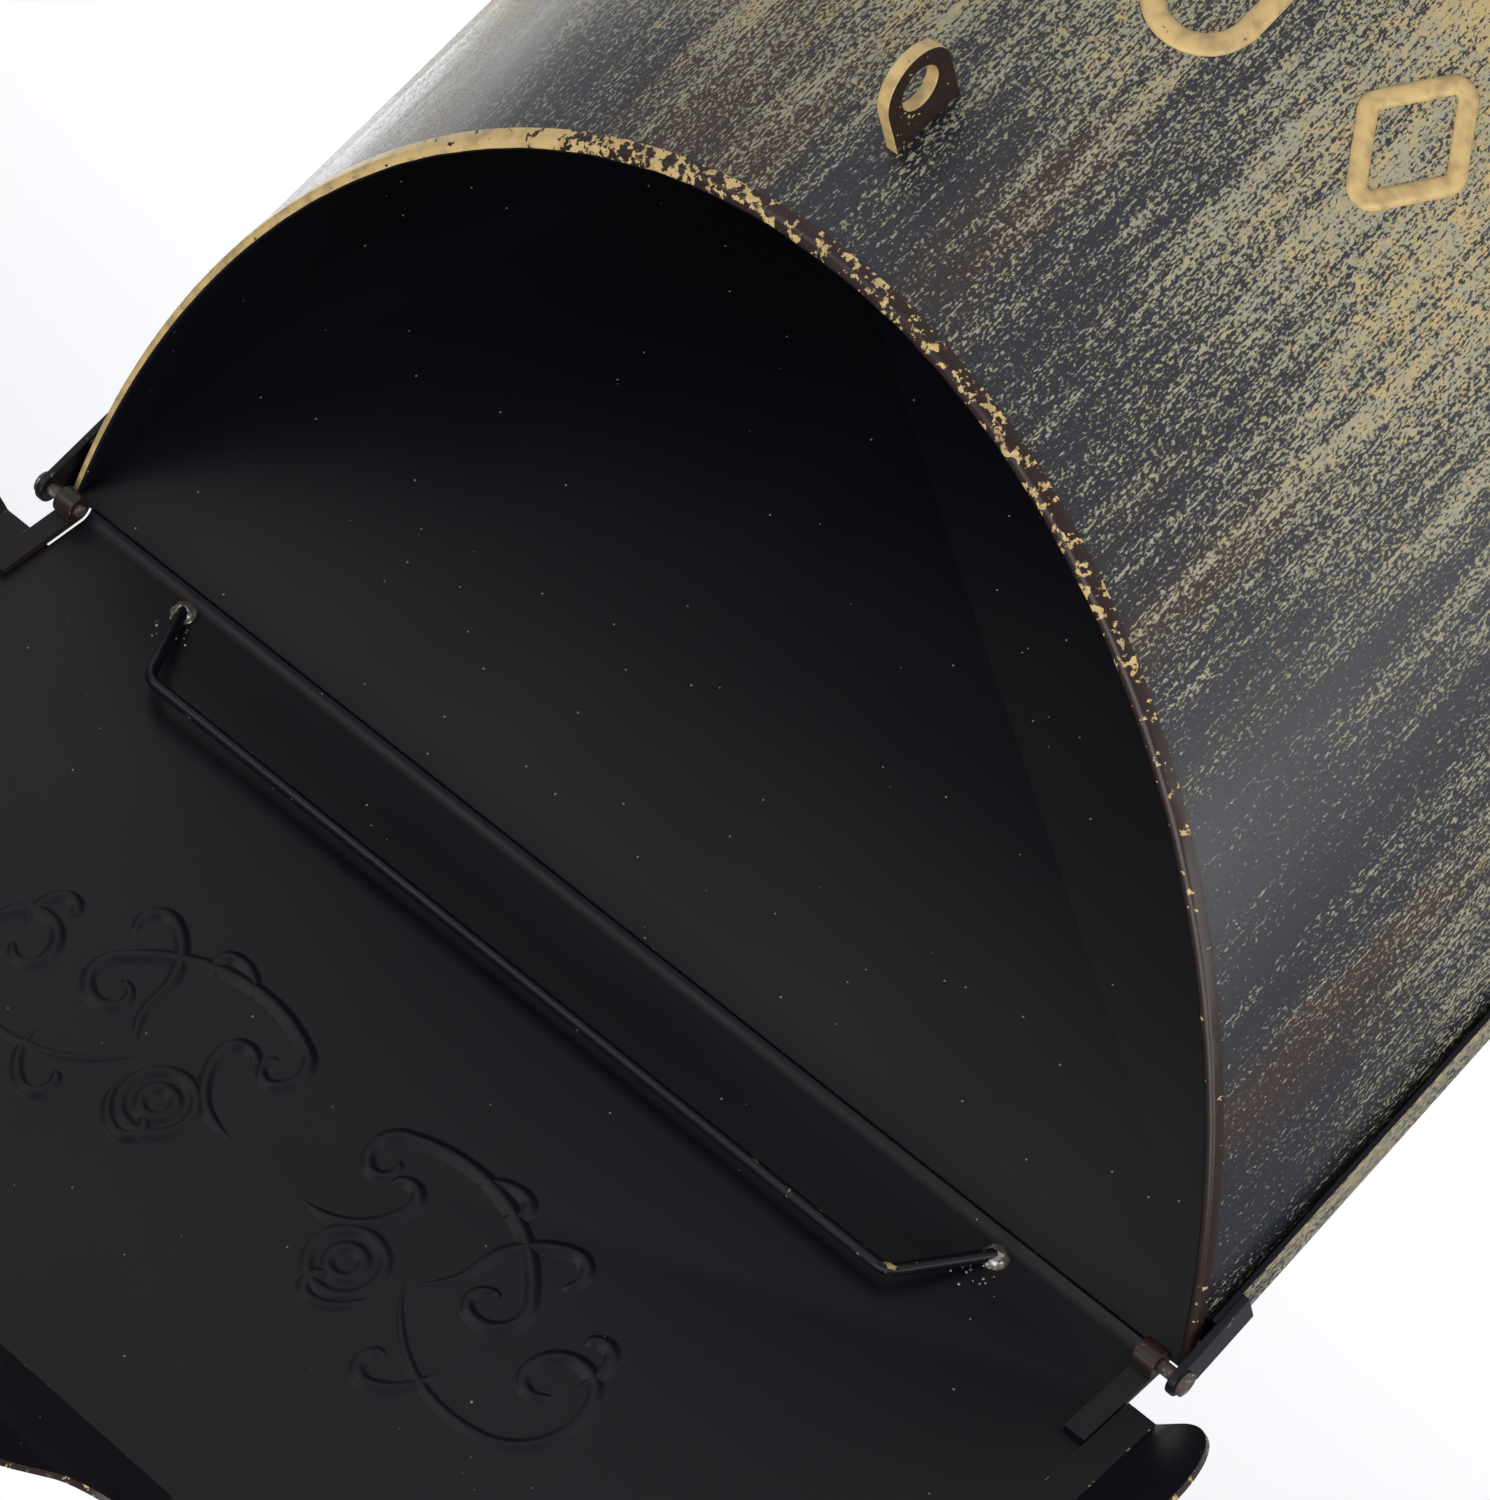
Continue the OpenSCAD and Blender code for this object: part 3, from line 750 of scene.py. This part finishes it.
class Makers:
    """Geometry Nodes trees for what repeats or follows a path."""

    def __init__(self) -> None:
        """Builds every tree once."""
        self.pair = self._pair()
        self.bent_rod = self._bent_rod()
        self.spatter = self._spatter()

    @staticmethod
    def _start(name: str, inputs: dict[str, tuple[str, object]]) -> tuple[Graph, dict[str, Socket], Socket]:
        """Starts a tree that takes and gives a shape.

        Args:
            name: Name of the tree.
            inputs: Socket type and default of what it takes besides the shape and the finish.

        Returns:
            The graph, the tree's inputs by name and the socket that takes its result.
        """
        inputs = {"Geometry": ("NodeSocketGeometry", None), **inputs, "Finish": ("NodeSocketMaterial", None)}
        graph, start, end = new_group(name, "GeometryNodeTree", inputs, {"Geometry": "NodeSocketGeometry"})
        return graph, {label: start.outputs[label] for label in inputs}, end.inputs["Geometry"]

    @staticmethod
    def _end(graph: Graph, geometry: Socket, finish: Socket, result: Socket) -> Tree:
        """Ends a tree: instances made real and given the finish."""
        real = graph.add("GeometryNodeRealizeInstances", {0: geometry}).outputs[0]
        dressed = graph.add("GeometryNodeSetMaterial", {"Geometry": real, "Material": finish})
        graph.fill(result, dressed.outputs[0])
        return graph.tree

    @classmethod
    def _pair(cls) -> Tree:
        """Two copies of a shape, turned both ways round a vertical axis."""
        graph, given, result = cls._start(
            "turned_pair", {"Angle": ("NodeSocketFloat", 0.1), "Pivot": ("NodeSocketVector", (0.0, 0.0, 0.0))}
        )
        shape = graph.add("GeometryNodeGeometryToInstance", {0: given["Geometry"]}).outputs[0]
        joined = graph.add("GeometryNodeJoinGeometry")
        for way in (1.0, -1.0):
            angle = graph.math("MULTIPLY", given["Angle"], way)
            turn = graph.add("ShaderNodeCombineXYZ", {2: angle}).outputs[0]
            turned = graph.add(
                "GeometryNodeRotateInstances",
                {"Instances": shape, "Rotation": turn, "Pivot Point": given["Pivot"], "Local Space": False},
            )
            graph.fill(joined.inputs[0], turned.outputs[0])
        return cls._end(graph, joined.outputs[0], given["Finish"], result)

    @classmethod
    def _bent_rod(cls) -> Tree:
        """A round rod along a path of straight edges, with rounded bends."""
        graph, given, result = cls._start(
            "bent_rod", {"Radius": ("NodeSocketFloat", 0.001), "Bend": ("NodeSocketFloat", 0.004)}
        )
        path = graph.add("GeometryNodeMeshToCurve", {0: given["Geometry"]}).outputs[0]
        bends = {"Curve": path, "Count": 10, "Radius": given["Bend"]}
        line = graph.add("GeometryNodeFilletCurve", bends, mode="POLY").outputs[0]
        ring = graph.add("GeometryNodeCurvePrimitiveCircle", {"Resolution": 24, "Radius": given["Radius"]})
        sweep = {"Curve": line, "Profile Curve": ring.outputs[0], "Fill Caps": True}
        rod = graph.add("GeometryNodeCurveToMesh", sweep).outputs[0]
        return cls._end(graph, rod, given["Finish"], result)

    @classmethod
    def _spatter(cls) -> Tree:
        """Small beads scattered over a face."""
        graph, given, result = cls._start(
            "weld_spatter",
            {
                "Density": ("NodeSocketFloat", 100000.0),
                "Bead": ("NodeSocketFloat", 0.0003),
                "Seed": ("NodeSocketInt", 3),
            },
        )
        spread = {"Mesh": given["Geometry"], "Density": given["Density"], "Seed": given["Seed"]}
        points = graph.add("GeometryNodeDistributePointsOnFaces", spread).outputs[0]
        bead = graph.add("GeometryNodeMeshIcoSphere", {"Radius": given["Bead"], "Subdivisions": 2}).outputs[0]
        size = graph.add("FunctionNodeRandomValue", {2: 0.4, 3: 1.0, "Seed": given["Seed"]}).outputs[1]
        beads = graph.add("GeometryNodeInstanceOnPoints", {"Points": points, "Instance": bead, "Scale": size})
        return cls._end(graph, beads.outputs[0], given["Finish"], result)


# ---------------------------------------------------------------- ridges


@dataclass(frozen=True)
class Station:
    """One place along a raised line: centre, way across, half width and height."""

    x: float
    y: float
    across: tuple[float, float]
    half: float
    height: float

    @classmethod
    def around(cls, x: float, y: float, radius: float, angle: float, half: float, height: float) -> "Station":
        """Station on a circle round x, y, with its way across pointing outward."""
        out = (math.cos(angle), math.sin(angle))
        return cls(x + radius * out[0], y + radius * out[1], out, half, height)

    def lifted(self, k: float, height: float, lift: Lift) -> Vector:
        """Point at k half widths across, on the given height."""
        return lift(self.x + self.across[0] * k * self.half, self.y + self.across[1] * k * self.half, height)


def ridge(
    name: str, stations: Sequence[Station], closed: bool, lift: Lift, sunk: float, soft: bool = False
) -> Mesh:
    """Makes a raised line with a round back on a surface.

    Args:
        name: Name of the mesh.
        stations: Places along the line.
        closed: True for a ring.
        lift: Takes a place on the surface and a height to a point.
        sunk: How far its underside lies below the surface.
        soft: True for a line pressed from behind, which runs out into the surface.

    Returns:
        The mesh.
    """
    steps = 9
    fullness = 0.62
    rings: list[list[Vector]] = []
    for station in stations:
        ring: list[Vector] = []
        for i in range(steps + 1):
            k = -math.cos(math.pi * i / steps)
            rise = math.cos(math.pi * k / 2) ** 2 if soft else max(0.0, 1 - k * k) ** fullness
            ring.append(station.lifted(k, station.height * rise, lift))
        ring += [station.lifted(k, -sunk, lift) for k in (1.0, -1.0)]
        rings.append(ring)
    return swept(name, rings, closed, 55.0)


@dataclass(frozen=True)
class Arc:
    """One arc of a run: radius in millimetres and turn in degrees, left is positive."""

    radius: float
    turn: float


def walk(start: tuple[float, float], heading: float, arcs: Sequence[Arc]) -> list[tuple[float, float, float]]:
    """Follows arcs that run on from each other.

    Args:
        start: Start in millimetres.
        heading: First heading in degrees from +Y, left is positive.
        arcs: The arcs.

    Returns:
        Points in metres with the heading in radians.
    """
    x, y = start[0] * MM, start[1] * MM
    angle = math.radians(heading)
    path = [(x, y, angle)]
    for arc in arcs:
        count = max(3, round(abs(arc.turn) / 7))
        side = math.copysign(arc.radius * MM, arc.turn)
        for _ in range(count):
            centre = (x - side * math.cos(angle), y - side * math.sin(angle))
            angle += math.radians(arc.turn) / count
            x, y = centre[0] + side * math.cos(angle), centre[1] + side * math.sin(angle)
            path.append((x, y, angle))
    return path


# ---------------------------------------------------------------- the fixed box


@dataclass
class Box:
    """The fixed body: front sheet, back, floor, rim, staple and motifs."""

    plan: BoxPlan
    finishes: Finishes
    makers: Makers
    columns: int = 150
    rows: int = 64
    rim_steps: int = 260
    hem_fold: float = 1.7 * MM
    hem_slack: float = 0.22 * MM
    dent: float = 0.16 * MM
    edge_width: float = 0.3 * MM
    rounding: float = 0.45 * MM
    motif_line: float = 4.0 * MM
    motif_height: float = 0.9 * MM
    motif_pitch: float = math.radians(17)
    motif_sunk: float = 0.5 * MM
    motif_share: float = 0.75
    lozenge_bend: float = 2.2 * MM

    def build(self) -> list[Object]:
        """Builds every piece of the box and lets it ride on the box's body."""
        pieces = [self.shell(), self.rim(), self.back(), self.floor(), self.staple(), *self.motifs()]
        for piece in pieces:
            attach(piece, "box")
            LOG.info("%s: %d faces", piece.name, len(piece.data.polygons))
        return pieces

    def dented(self, angle: float, z: float) -> float:
        """Radius lost to the sheet's slow unevenness at a place."""
        broad = noise.noise(Vector((angle * 3.1, z * 17.0, 4.2)))
        small = noise.noise(Vector((angle * 8.0, z * 38.0, 1.3)))
        return self.dent * (0.5 + 0.5 * (broad + 0.5 * small))

    def shell(self) -> Object:
        """The bent front sheet, with both its faces and its edges."""
        points: list[Vector] = []
        for radius in (self.plan.radius, self.plan.radius - self.plan.sheet):
            end = self.plan.end_angle(radius)
            for i in range(self.columns + 1):
                angle = end * (2 * i / self.columns - 1)
                top = self.plan.rim_z(self.plan.at(angle, radius, 0).y)
                for j in range(self.rows + 1):
                    z = self.plan.bottom + (top - self.plan.bottom) * j / self.rows
                    points.append(self.plan.at(angle, radius - self.dented(angle, z), z))
        tall, layer = self.rows + 1, (self.rows + 1) * (self.columns + 1)
        faces: list[list[int]] = []
        kinds: list[Face] = []
        for side, kind in ((0, Face.OUTER), (layer, Face.INNER)):
            for i in range(self.columns):
                for j in range(self.rows):
                    a = side + i * tall + j
                    faces.append([a, a + tall, a + tall + 1, a + 1])
                    kinds.append(kind)
        border = [i * tall for i in range(self.columns + 1)]
        border += [self.columns * tall + j for j in range(1, tall)]
        border += [i * tall + self.rows for i in range(self.columns - 1, -1, -1)]
        border += list(range(self.rows - 1, 0, -1))
        for a, b in zip(border, border[1:] + border[:1]):
            faces.append([a, b, b + layer, a + layer])
            kinds.append(Face.EDGE)
        mesh = mesh_from("front_sheet", points, faces, 40.0)
        mesh.polygons.foreach_set("material_index", [int(kind) for kind in kinds])
        made = make_object("front_sheet", mesh, self.finishes.sheet(self.finishes.shell))
        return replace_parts(made, "body_shell")

    def rim(self) -> Object:
        """The hem folded over the rim, a little uneven as beaten sheet is."""
        middle = self.plan.radius - self.plan.sheet / 2
        half = self.plan.sheet / 2 + self.plan.hem
        drop = -self.hem_fold / math.cos(self.plan.slope)
        rise = self.plan.hem / math.cos(self.plan.slope)
        corner = half * 0.8
        outline = [(half, drop), (half, rise - corner)]
        for a in (math.pi * k / 12 for k in range(1, 7)):
            outline.append((half - corner + corner * math.cos(a), rise - corner + corner * math.sin(a)))
        outline += [(-x, z) for x, z in reversed(outline)]
        end = self.plan.end_angle(middle)
        rings: list[list[Vector]] = []
        for i in range(self.rim_steps + 1):
            angle = end * (2 * i / self.rim_steps - 1)
            slack = self.hem_slack * (0.5 + 0.5 * noise.noise(Vector((angle * 26.0, 0.4, 2.0))))
            ring: list[Vector] = []
            for out, up in outline:
                side = out - math.copysign(slack, out) * 0.5
                place = self.plan.at(angle, middle + side, 0)
                place.y = min(place.y, -self.plan.sheet)
                ring.append(Vector((place.x, place.y, self.plan.rim_z(place.y) + up - slack * (up > 0))))
            rings.append(ring)
        mesh = swept("rim_fold", rings, False, 50.0)
        for face in mesh.polygons:
            reach = math.hypot(face.center.x, face.center.y - self.plan.centre_y)
            face.material_index = 1 if reach < middle - half * 0.35 else 0
        made = make_object("rim_fold", mesh, [self.finishes.rim, self.finishes.inner])
        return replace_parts(made, "rim_hem")

    def back(self) -> Object:
        """The flat back with its side returns and wall holes."""
        mesh = softened("back_panel", self.edge_width, lambda n: abs(n.x) < 0.5, 0.0)
        made = make_object("back_sheet", mesh, self.finishes.sheet(self.finishes.hood))
        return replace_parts(made, "back_panel")

    def floor(self) -> Object:
        """The floor with its lip."""
        mesh = softened("bottom_panel", self.edge_width, lambda n: n.z > 0.5, 0.6 * MM)
        made = make_object("floor_pan", mesh, self.finishes.sheet(self.finishes.hood))
        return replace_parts(made, "bottom_panel")

    def staple(self) -> Object:
        """The padlock staple: brown faces and gilt edges."""
        mesh = softened("front_staple", self.rounding, lambda n: False, 0.9 * MM)
        for face in mesh.polygons:
            face.material_index = 0 if abs(face.normal.x) > 0.9 else 1
        made = make_object("staple_tab", mesh, [self.finishes.cast, self.finishes.raised])
        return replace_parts(made, "front_staple")

    def motifs(self) -> list[Object]:
        """Raised rings and lozenges round the front, two of each."""
        low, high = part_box("front_motifs")
        centre_z = (low.z + high.z) / 2
        tall = (high.z - low.z) / 2
        wide = tall * self.motif_share
        pivot = (0.0, self.plan.centre_y, 0.0)
        shapes = {
            "ring_motifs": (self.oval(wide, tall), self.motif_pitch / 2),
            "lozenge_motifs": (self.lozenge(wide, tall), 1.5 * self.motif_pitch),
        }
        made: list[Object] = []
        for name, (stations, angle) in shapes.items():
            lift = lambda x, y, h: self.plan.at(x / self.plan.radius, self.plan.radius + h, centre_z + y)
            single = ridge(name, stations, True, lift, self.motif_sunk)
            turn = {"Angle": angle, "Pivot": pivot, "Finish": self.finishes.raised}
            mesh = run_tree(name, single, self.makers.pair, turn)
            piece = make_object(name, mesh, [self.finishes.raised])
            made.append(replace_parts(piece, "front_motifs"))
        return made

    def oval(self, wide: float, tall: float) -> list[Station]:
        """Stations round a ring with straight sides."""
        half = self.motif_line / 2
        stations: list[Station] = []
        for y, first in ((tall - wide, 0), (wide - tall, math.pi)):
            for i in range(25):
                angle = math.pi * i / 24 + first
                stations.append(Station.around(0.0, y, wide - half, angle, half, self.motif_height))
        return stations

    def lozenge(self, wide: float, tall: float) -> list[Station]:
        """Stations round a diamond with rounded corners."""
        half = self.motif_line * 0.42
        bend = self.lozenge_bend
        reach_x, reach_y = wide - half - bend, tall - half - bend
        lean = math.atan2(reach_y, reach_x)
        corners = [(reach_x, 0.0, 0.0), (0.0, reach_y, 90.0), (-reach_x, 0.0, 180.0), (0.0, -reach_y, 270.0)]
        spread = {0: math.pi / 2 - lean, 1: lean}
        stations: list[Station] = []
        for i, (x, y, facing) in enumerate(corners):
            for k in range(9):
                angle = math.radians(facing) + spread[i % 2] * (k / 4 - 1)
                stations.append(Station.around(x, y, bend, angle, half, self.motif_height))
        return stations


# ---------------------------------------------------------------- the hinge


@dataclass
class Hinge:
    """Ears and pins on the box, and rolled knuckles on the lid."""

    finishes: Finishes
    place: LidPlace
    rounding: float = 0.3 * MM
    strap_start: float = 4.4 * MM

    def build(self) -> list[Object]:
        """Builds both sides of the hinge."""
        parts = (
            ("hinge_ear", "box", Slot.OUTER, self.finishes.wire),
            ("hinge_pin", "box", Slot.STEEL, self.finishes.steel),
            ("lid_knuckle", "lid", Slot.OUTER, self.finishes.cast),
        )
        pieces: list[Object] = []
        for side in ("left", "right"):
            for part, body, slot, finish in parts:
                node = f"{part}_{side}"
                mesh = softened(node, self.rounding, lambda n: False, 0.0)
                if part == "lid_knuckle":
                    for face in mesh.polygons:
                        reach = face.center - self.place.axis
                        face.material_index = int(math.hypot(reach.y, reach.z) > self.strap_start)
                made = make_object(f"{part}_{side}_worn", mesh, [finish, self.finishes.inner])
                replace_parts(made, node)
                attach(made, body)
                LOG.info("%s: %d faces", made.name, len(mesh.polygons))
                pieces.append(made)
        return pieces


# ---------------------------------------------------------------- the lid


@dataclass
class Lid:
    """The hood lid: panel, skirts, flap, scrollwork and wire stay."""

    place: LidPlace
    finishes: Finishes
    makers: Makers
    edge_width: float = 0.3 * MM
    line_half: float = 1.75 * MM
    line_height: float = 0.85 * MM
    line_sunk: float = 0.3 * MM
    skirt_edge: float = 1.05 * MM
    wire_radius: float = 1.1 * MM
    wire_bend: float = 4.0 * MM
    wire_gap: float = 3.0 * MM
    wire_end: Span = (95 * MM, 2 * MM)
    wire_bar: Span = (86 * MM, 18 * MM)
    weld_radius: float = 2.35 * MM
    weld_sunk: float = 0.2 * MM
    medallion: Span = (22 * MM, 74.6 * MM)
    spatter_inset: float = 1.5 * MM
    spatter_along: float = 6.2 * MM
    spatter_reach: float = 4.2 * MM
    spatter_density: float = 420000.0
    spatter_bead: float = 0.32 * MM

    def build(self) -> list[Object]:
        """Builds every piece of the lid and lets it ride on the lid's body."""
        pieces = [
            self.sheet("lid_panel", "lid_sheet", 0.0, Slot.INNER),
            self.sheet("lid_skirt_left", "skirt_left", self.skirt_edge, Slot.OUTER),
            self.sheet("lid_skirt_right", "skirt_right", self.skirt_edge, Slot.OUTER),
            self.sheet("lid_front_flap", "flap_and_tongue", self.skirt_edge, Slot.OUTER),
            self.scrollwork(),
            self.wire(),
            *self.welds(),
        ]
        for piece in pieces:
            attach(piece, "lid")
            LOG.info("%s: %d faces", piece.name, len(piece.data.polygons))
        return pieces

    def sheet(self, node: str, name: str, thin: float, slot: Slot) -> Object:
        """One of the lid's sheets, black inside, brushed outside and worn on edges thinner than thin."""
        out = self.place.matrix().to_3x3() @ Vector((0, 0, 1))
        mesh = softened(node, self.edge_width, lambda n: n.dot(out) < 0.3, thin)
        made = make_object(name, mesh, self.finishes.sheet(self.finishes.hood))
        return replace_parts(made, node)

    def line(self, start: Span, heading: float, arcs: Sequence[Arc], side: int) -> Mesh:
        """One tapering line of the scrollwork, on the side of the lid that side says."""
        path = walk(start, heading, arcs)
        stations: list[Station] = []
        for i, (x, y, angle) in enumerate(path):
            along = i / (len(path) - 1)
            swell = 0.35 + 0.65 * math.sin(math.pi * min(1.0, max(0.0, along))) ** 0.55
            tip = min(1.0, i / 3, (len(path) - 1 - i) / 3) * 0.85 + 0.15
            across = (side * math.cos(angle), math.sin(angle))
            half, height = self.line_half * swell * tip, self.line_height * swell * tip
            stations.append(Station(side * x, y, across, half, height))
        return ridge("scroll_line", stations, False, self.place.lift, self.line_sunk, True)

    def medallions(self, side: int) -> list[Mesh]:
        """Two rings round each other on one side of the middle."""
        x, y = side * self.medallion[0], -self.medallion[1]
        half, height = self.line_half * 0.9, self.line_height * 0.8
        meshes: list[Mesh] = []
        for radius in (6.3 * MM, 2.96 * MM):
            stations = [Station.around(x, y, radius, math.tau * i / 36, half, height) for i in range(36)]
            meshes.append(ridge("medallion", stations, True, self.place.lift, self.line_sunk, True))
        return meshes

    def scrollwork(self) -> Object:
        """Raised scrolls on the lid's inner face, the same on both sides."""
        scrolls = (
            ((31, -70), -150, (Arc(26, 75), Arc(12, 100), Arc(6, 160), Arc(3.2, 160))),
            ((14, -55), -124, (Arc(2.6, -180), Arc(4.8, -120), Arc(30, -78), Arc(5.2, -150), Arc(2.8, -180))),
            ((33, -69), -60, (Arc(9, 60), Arc(14, -70), Arc(3.4, -170))),
            ((47, -78), -178, (Arc(10, -70), Arc(3.0, -190))),
            ((29.5, -76), 175, (Arc(8, -75), Arc(2.6, -190))),
            ((64, -66), -40, (Arc(7, 70), Arc(2.6, 150))),
            ((8, -71), -100, (Arc(12, 95), Arc(3.0, 170))),
            ((26, -50.5), -20, (Arc(7, -80), Arc(2.4, -170))),
        )
        joined = bmesh.new()
        for side in (1, -1):
            for mesh in [self.line(*scroll, side) for scroll in scrolls] + self.medallions(side):
                joined.from_mesh(mesh)
        made = make_object("pressed_scrolls", baked("pressed_scrolls", joined, 55.0), [self.finishes.inner])
        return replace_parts(made, "lid_scrollwork")

    def wire(self) -> Object:
        """The bent wire, welded to the lid at both ends."""
        low, high = self.wire_radius, self.wire_radius + self.wire_gap
        corners = [
            (-self.wire_end[0], self.wire_end[1], low),
            (-self.wire_bar[0], self.wire_bar[1], high),
            (self.wire_bar[0], self.wire_bar[1], high),
            (self.wire_end[0], self.wire_end[1], low),
        ]
        path = bpy.data.meshes.new("wire_path")
        points = [self.place.lift(x, -along, off) for x, along, off in corners]
        path.from_pydata(points, [(i, i + 1) for i in range(len(points) - 1)], [])
        values = {"Radius": self.wire_radius, "Bend": self.wire_bend, "Finish": self.finishes.wire}
        mesh = run_tree("wire_loop", path, self.makers.bent_rod, values)
        mesh.shade_smooth()
        made = make_object("wire_loop", mesh, [self.finishes.wire])
        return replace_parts(made, "wire_stay")

    def welds(self) -> list[Object]:
        """Weld beads at the wire's ends and the spatter round them."""
        pieces: list[Object] = []
        for side, label in ((-1, "left"), (1, "right")):
            node = f"wire_weld_{label}"
            bead = bmesh.new()
            bmesh.ops.create_icosphere(bead, subdivisions=4, radius=1.0)
            for vertex in bead.verts:
                rough = 1 + 0.16 * noise.noise(vertex.co * 2.1 + Vector((side * 3.0, 0, 0)))
                spread = vertex.co * rough * self.weld_radius
                x, y = side * self.wire_end[0] + spread.x, -self.wire_end[1] + spread.y
                vertex.co = self.place.lift(x, y, max(spread.z, 0) - self.weld_sunk)
            bmesh.ops.recalc_face_normals(bead, faces=bead.faces)
            made = make_object(f"weld_bead_{label}", baked(node + "_bead", bead), [self.finishes.weld])
            pieces.append(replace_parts(made, node))
            pieces.append(self.spatter(side, label))
        return pieces

    def spatter(self, side: int, label: str) -> Object:
        """Beads of spatter on the lid near a weld."""
        corners = 20
        ring: list[Vector] = []
        for angle in (math.tau * i / corners for i in range(corners)):
            x = side * (self.wire_end[0] - self.spatter_inset) + self.spatter_reach * math.cos(angle)
            y = -self.spatter_along + self.spatter_reach * math.sin(angle) * 0.9
            ring.append(self.place.lift(x, y, 0))
        disc = bpy.data.meshes.new("spatter_field")
        disc.from_pydata(ring, [], [list(range(corners))])
        values = {"Density": self.spatter_density, "Bead": self.spatter_bead, "Seed": 7 + side}
        values["Finish"] = self.finishes.weld
        mesh = run_tree(f"weld_spatter_{label}", disc, self.makers.spatter, values)
        mesh.shade_smooth()
        made = make_object(f"weld_spatter_{label}", mesh, [self.finishes.weld])
        return made


# ---------------------------------------------------------------- the studio


@dataclass(frozen=True)
class SoftBox:
    """One soft light."""

    name: str
    place: tuple[float, float, float]
    target: tuple[float, float, float]
    width: float
    height: float
    power: float

    def build(self) -> Object:
        """Makes the light and turns it to its target."""
        data = bpy.data.lights.new(self.name, "AREA")
        data.shape = "RECTANGLE"
        data.size, data.size_y, data.energy = self.width, self.height, self.power
        made = bpy.data.objects.new(self.name, data)
        bpy.context.collection.objects.link(made)
        made.location = self.place
        way = Vector(self.target) - Vector(self.place)
        made.rotation_euler = way.to_track_quat("-Z", "Y").to_euler()
        made.visible_camera = False
        return made


@dataclass(frozen=True)
class Studio:
    """Pale floor, soft light and the camera."""

    azimuth: float = math.radians(-25.7)
    elevation: float = math.radians(14.1)
    roll: float = math.radians(-136.2)
    camera_place: tuple[float, float, float] = (-0.3923, -0.8108, 0.3644)
    lens: float = 132.24
    shift: Span = (-0.018, -0.0073)
    floor_gap: float = 2 * MM
    floor_reach: float = 6.0
    floor_glow: float = 0.6
    glow: float = 0.24

    def build(self) -> None:
        """Builds the camera, the floor, the lights and the surroundings."""
        self.camera()
        self.floor()
        self.lights()
        self.surroundings()
        bpy.context.scene.view_settings.view_transform = "Standard"

    def camera(self) -> None:
        """The camera at the height, side and roll that frames the open box."""
        data = bpy.data.cameras.new("camera")
        data.lens = self.lens
        data.shift_x, data.shift_y = self.shift
        data.clip_start = 0.01
        made = bpy.data.objects.new("camera", data)
        bpy.context.collection.objects.link(made)
        flat, rise = math.cos(self.elevation), math.sin(self.elevation)
        back = Vector((math.sin(self.azimuth) * flat, -math.cos(self.azimuth) * flat, rise))
        level = Vector((math.cos(self.azimuth), math.sin(self.azimuth), 0))
        upright = back.cross(level)
        right = level * math.cos(self.roll) + upright * math.sin(self.roll)
        up = upright * math.cos(self.roll) - level * math.sin(self.roll)
        turn = Matrix((right, up, back)).transposed().to_4x4()
        made.matrix_world = Matrix.Translation(self.camera_place) @ turn
        bpy.context.scene.camera = made

    def floor(self) -> None:
        """A wide pale floor just under the box."""
        far = self.floor_reach
        level = CAD_BOX[0].z - self.floor_gap
        corners = [(x * far, y * far, level) for x, y in ((-1, -1), (1, -1), (1, 1), (-1, 1))]
        mesh = bpy.data.meshes.new("floor")
        mesh.from_pydata(corners, [], [(0, 1, 2, 3)])
        paint = Paint("pale_floor")
        tone = paint.grain(paint.place, Grain(3.0))
        paint.put("Base Color", paint.blend(tone, (0.90, 0.90, 0.90, 1), (0.94, 0.94, 0.94, 1)))
        paint.put("Roughness", 0.7)
        paint.put("Emission Color", (1, 1, 1, 1))
        seen = paint.add("ShaderNodeLightPath").outputs["Is Camera Ray"]
        paint.put("Emission Strength", paint.math("MULTIPLY", seen, self.floor_glow))
        make_object("floor", mesh, [paint.material])

    def lights(self) -> None:
        """Soft boxes: tall at the left, wide above, a fill at the front and a low one at the right."""
        for light in (
            SoftBox("left_box", (-1.30, -0.42, 0.20), (0, -0.05, 0), 0.5, 1.5, 13.0),
            SoftBox("top_box", (-0.35, -0.75, 1.45), (0, -0.05, 0.1), 1.3, 0.9, 20.0),
            SoftBox("front_fill", (0.75, -1.35, 0.55), (0, 0, 0), 0.9, 0.9, 6.0),
            SoftBox("right_rear", (0.66, 0.22, -0.04), (0.08, -0.06, 0.08), 0.45, 0.22, 0.9),
        ):
            light.build()

    def surroundings(self) -> None:
        """A white background with a dimmer glow on the object."""
        world = bpy.data.worlds.new("studio")
        world.use_nodes = True
        bpy.context.scene.world = world
        graph = Graph(world.node_tree)
        seen = graph.add("ShaderNodeLightPath").outputs["Is Camera Ray"]
        back = world.node_tree.nodes["Background"]
        graph.fill(back.inputs["Color"], graph.blend(seen, (0.94, 0.97, 1.07, 1), (1, 1, 1, 1)))
        graph.fill(back.inputs["Strength"], graph.step(seen, 0.0, 1.0, self.glow, 1.0))


def main() -> None:
    """Builds the letterbox and its studio."""
    logging.basicConfig(level=logging.INFO, format="%(name)s %(message)s")
    finishes = Finishes(Effects())
    makers = Makers()
    place = LidPlace.from_frame()
    Box(BoxPlan.from_frame(), finishes, makers).build()
    Hinge(finishes, place).build()
    Lid(place, finishes, makers).build()
    Studio().build()


if __name__ == "__main__":
    main()
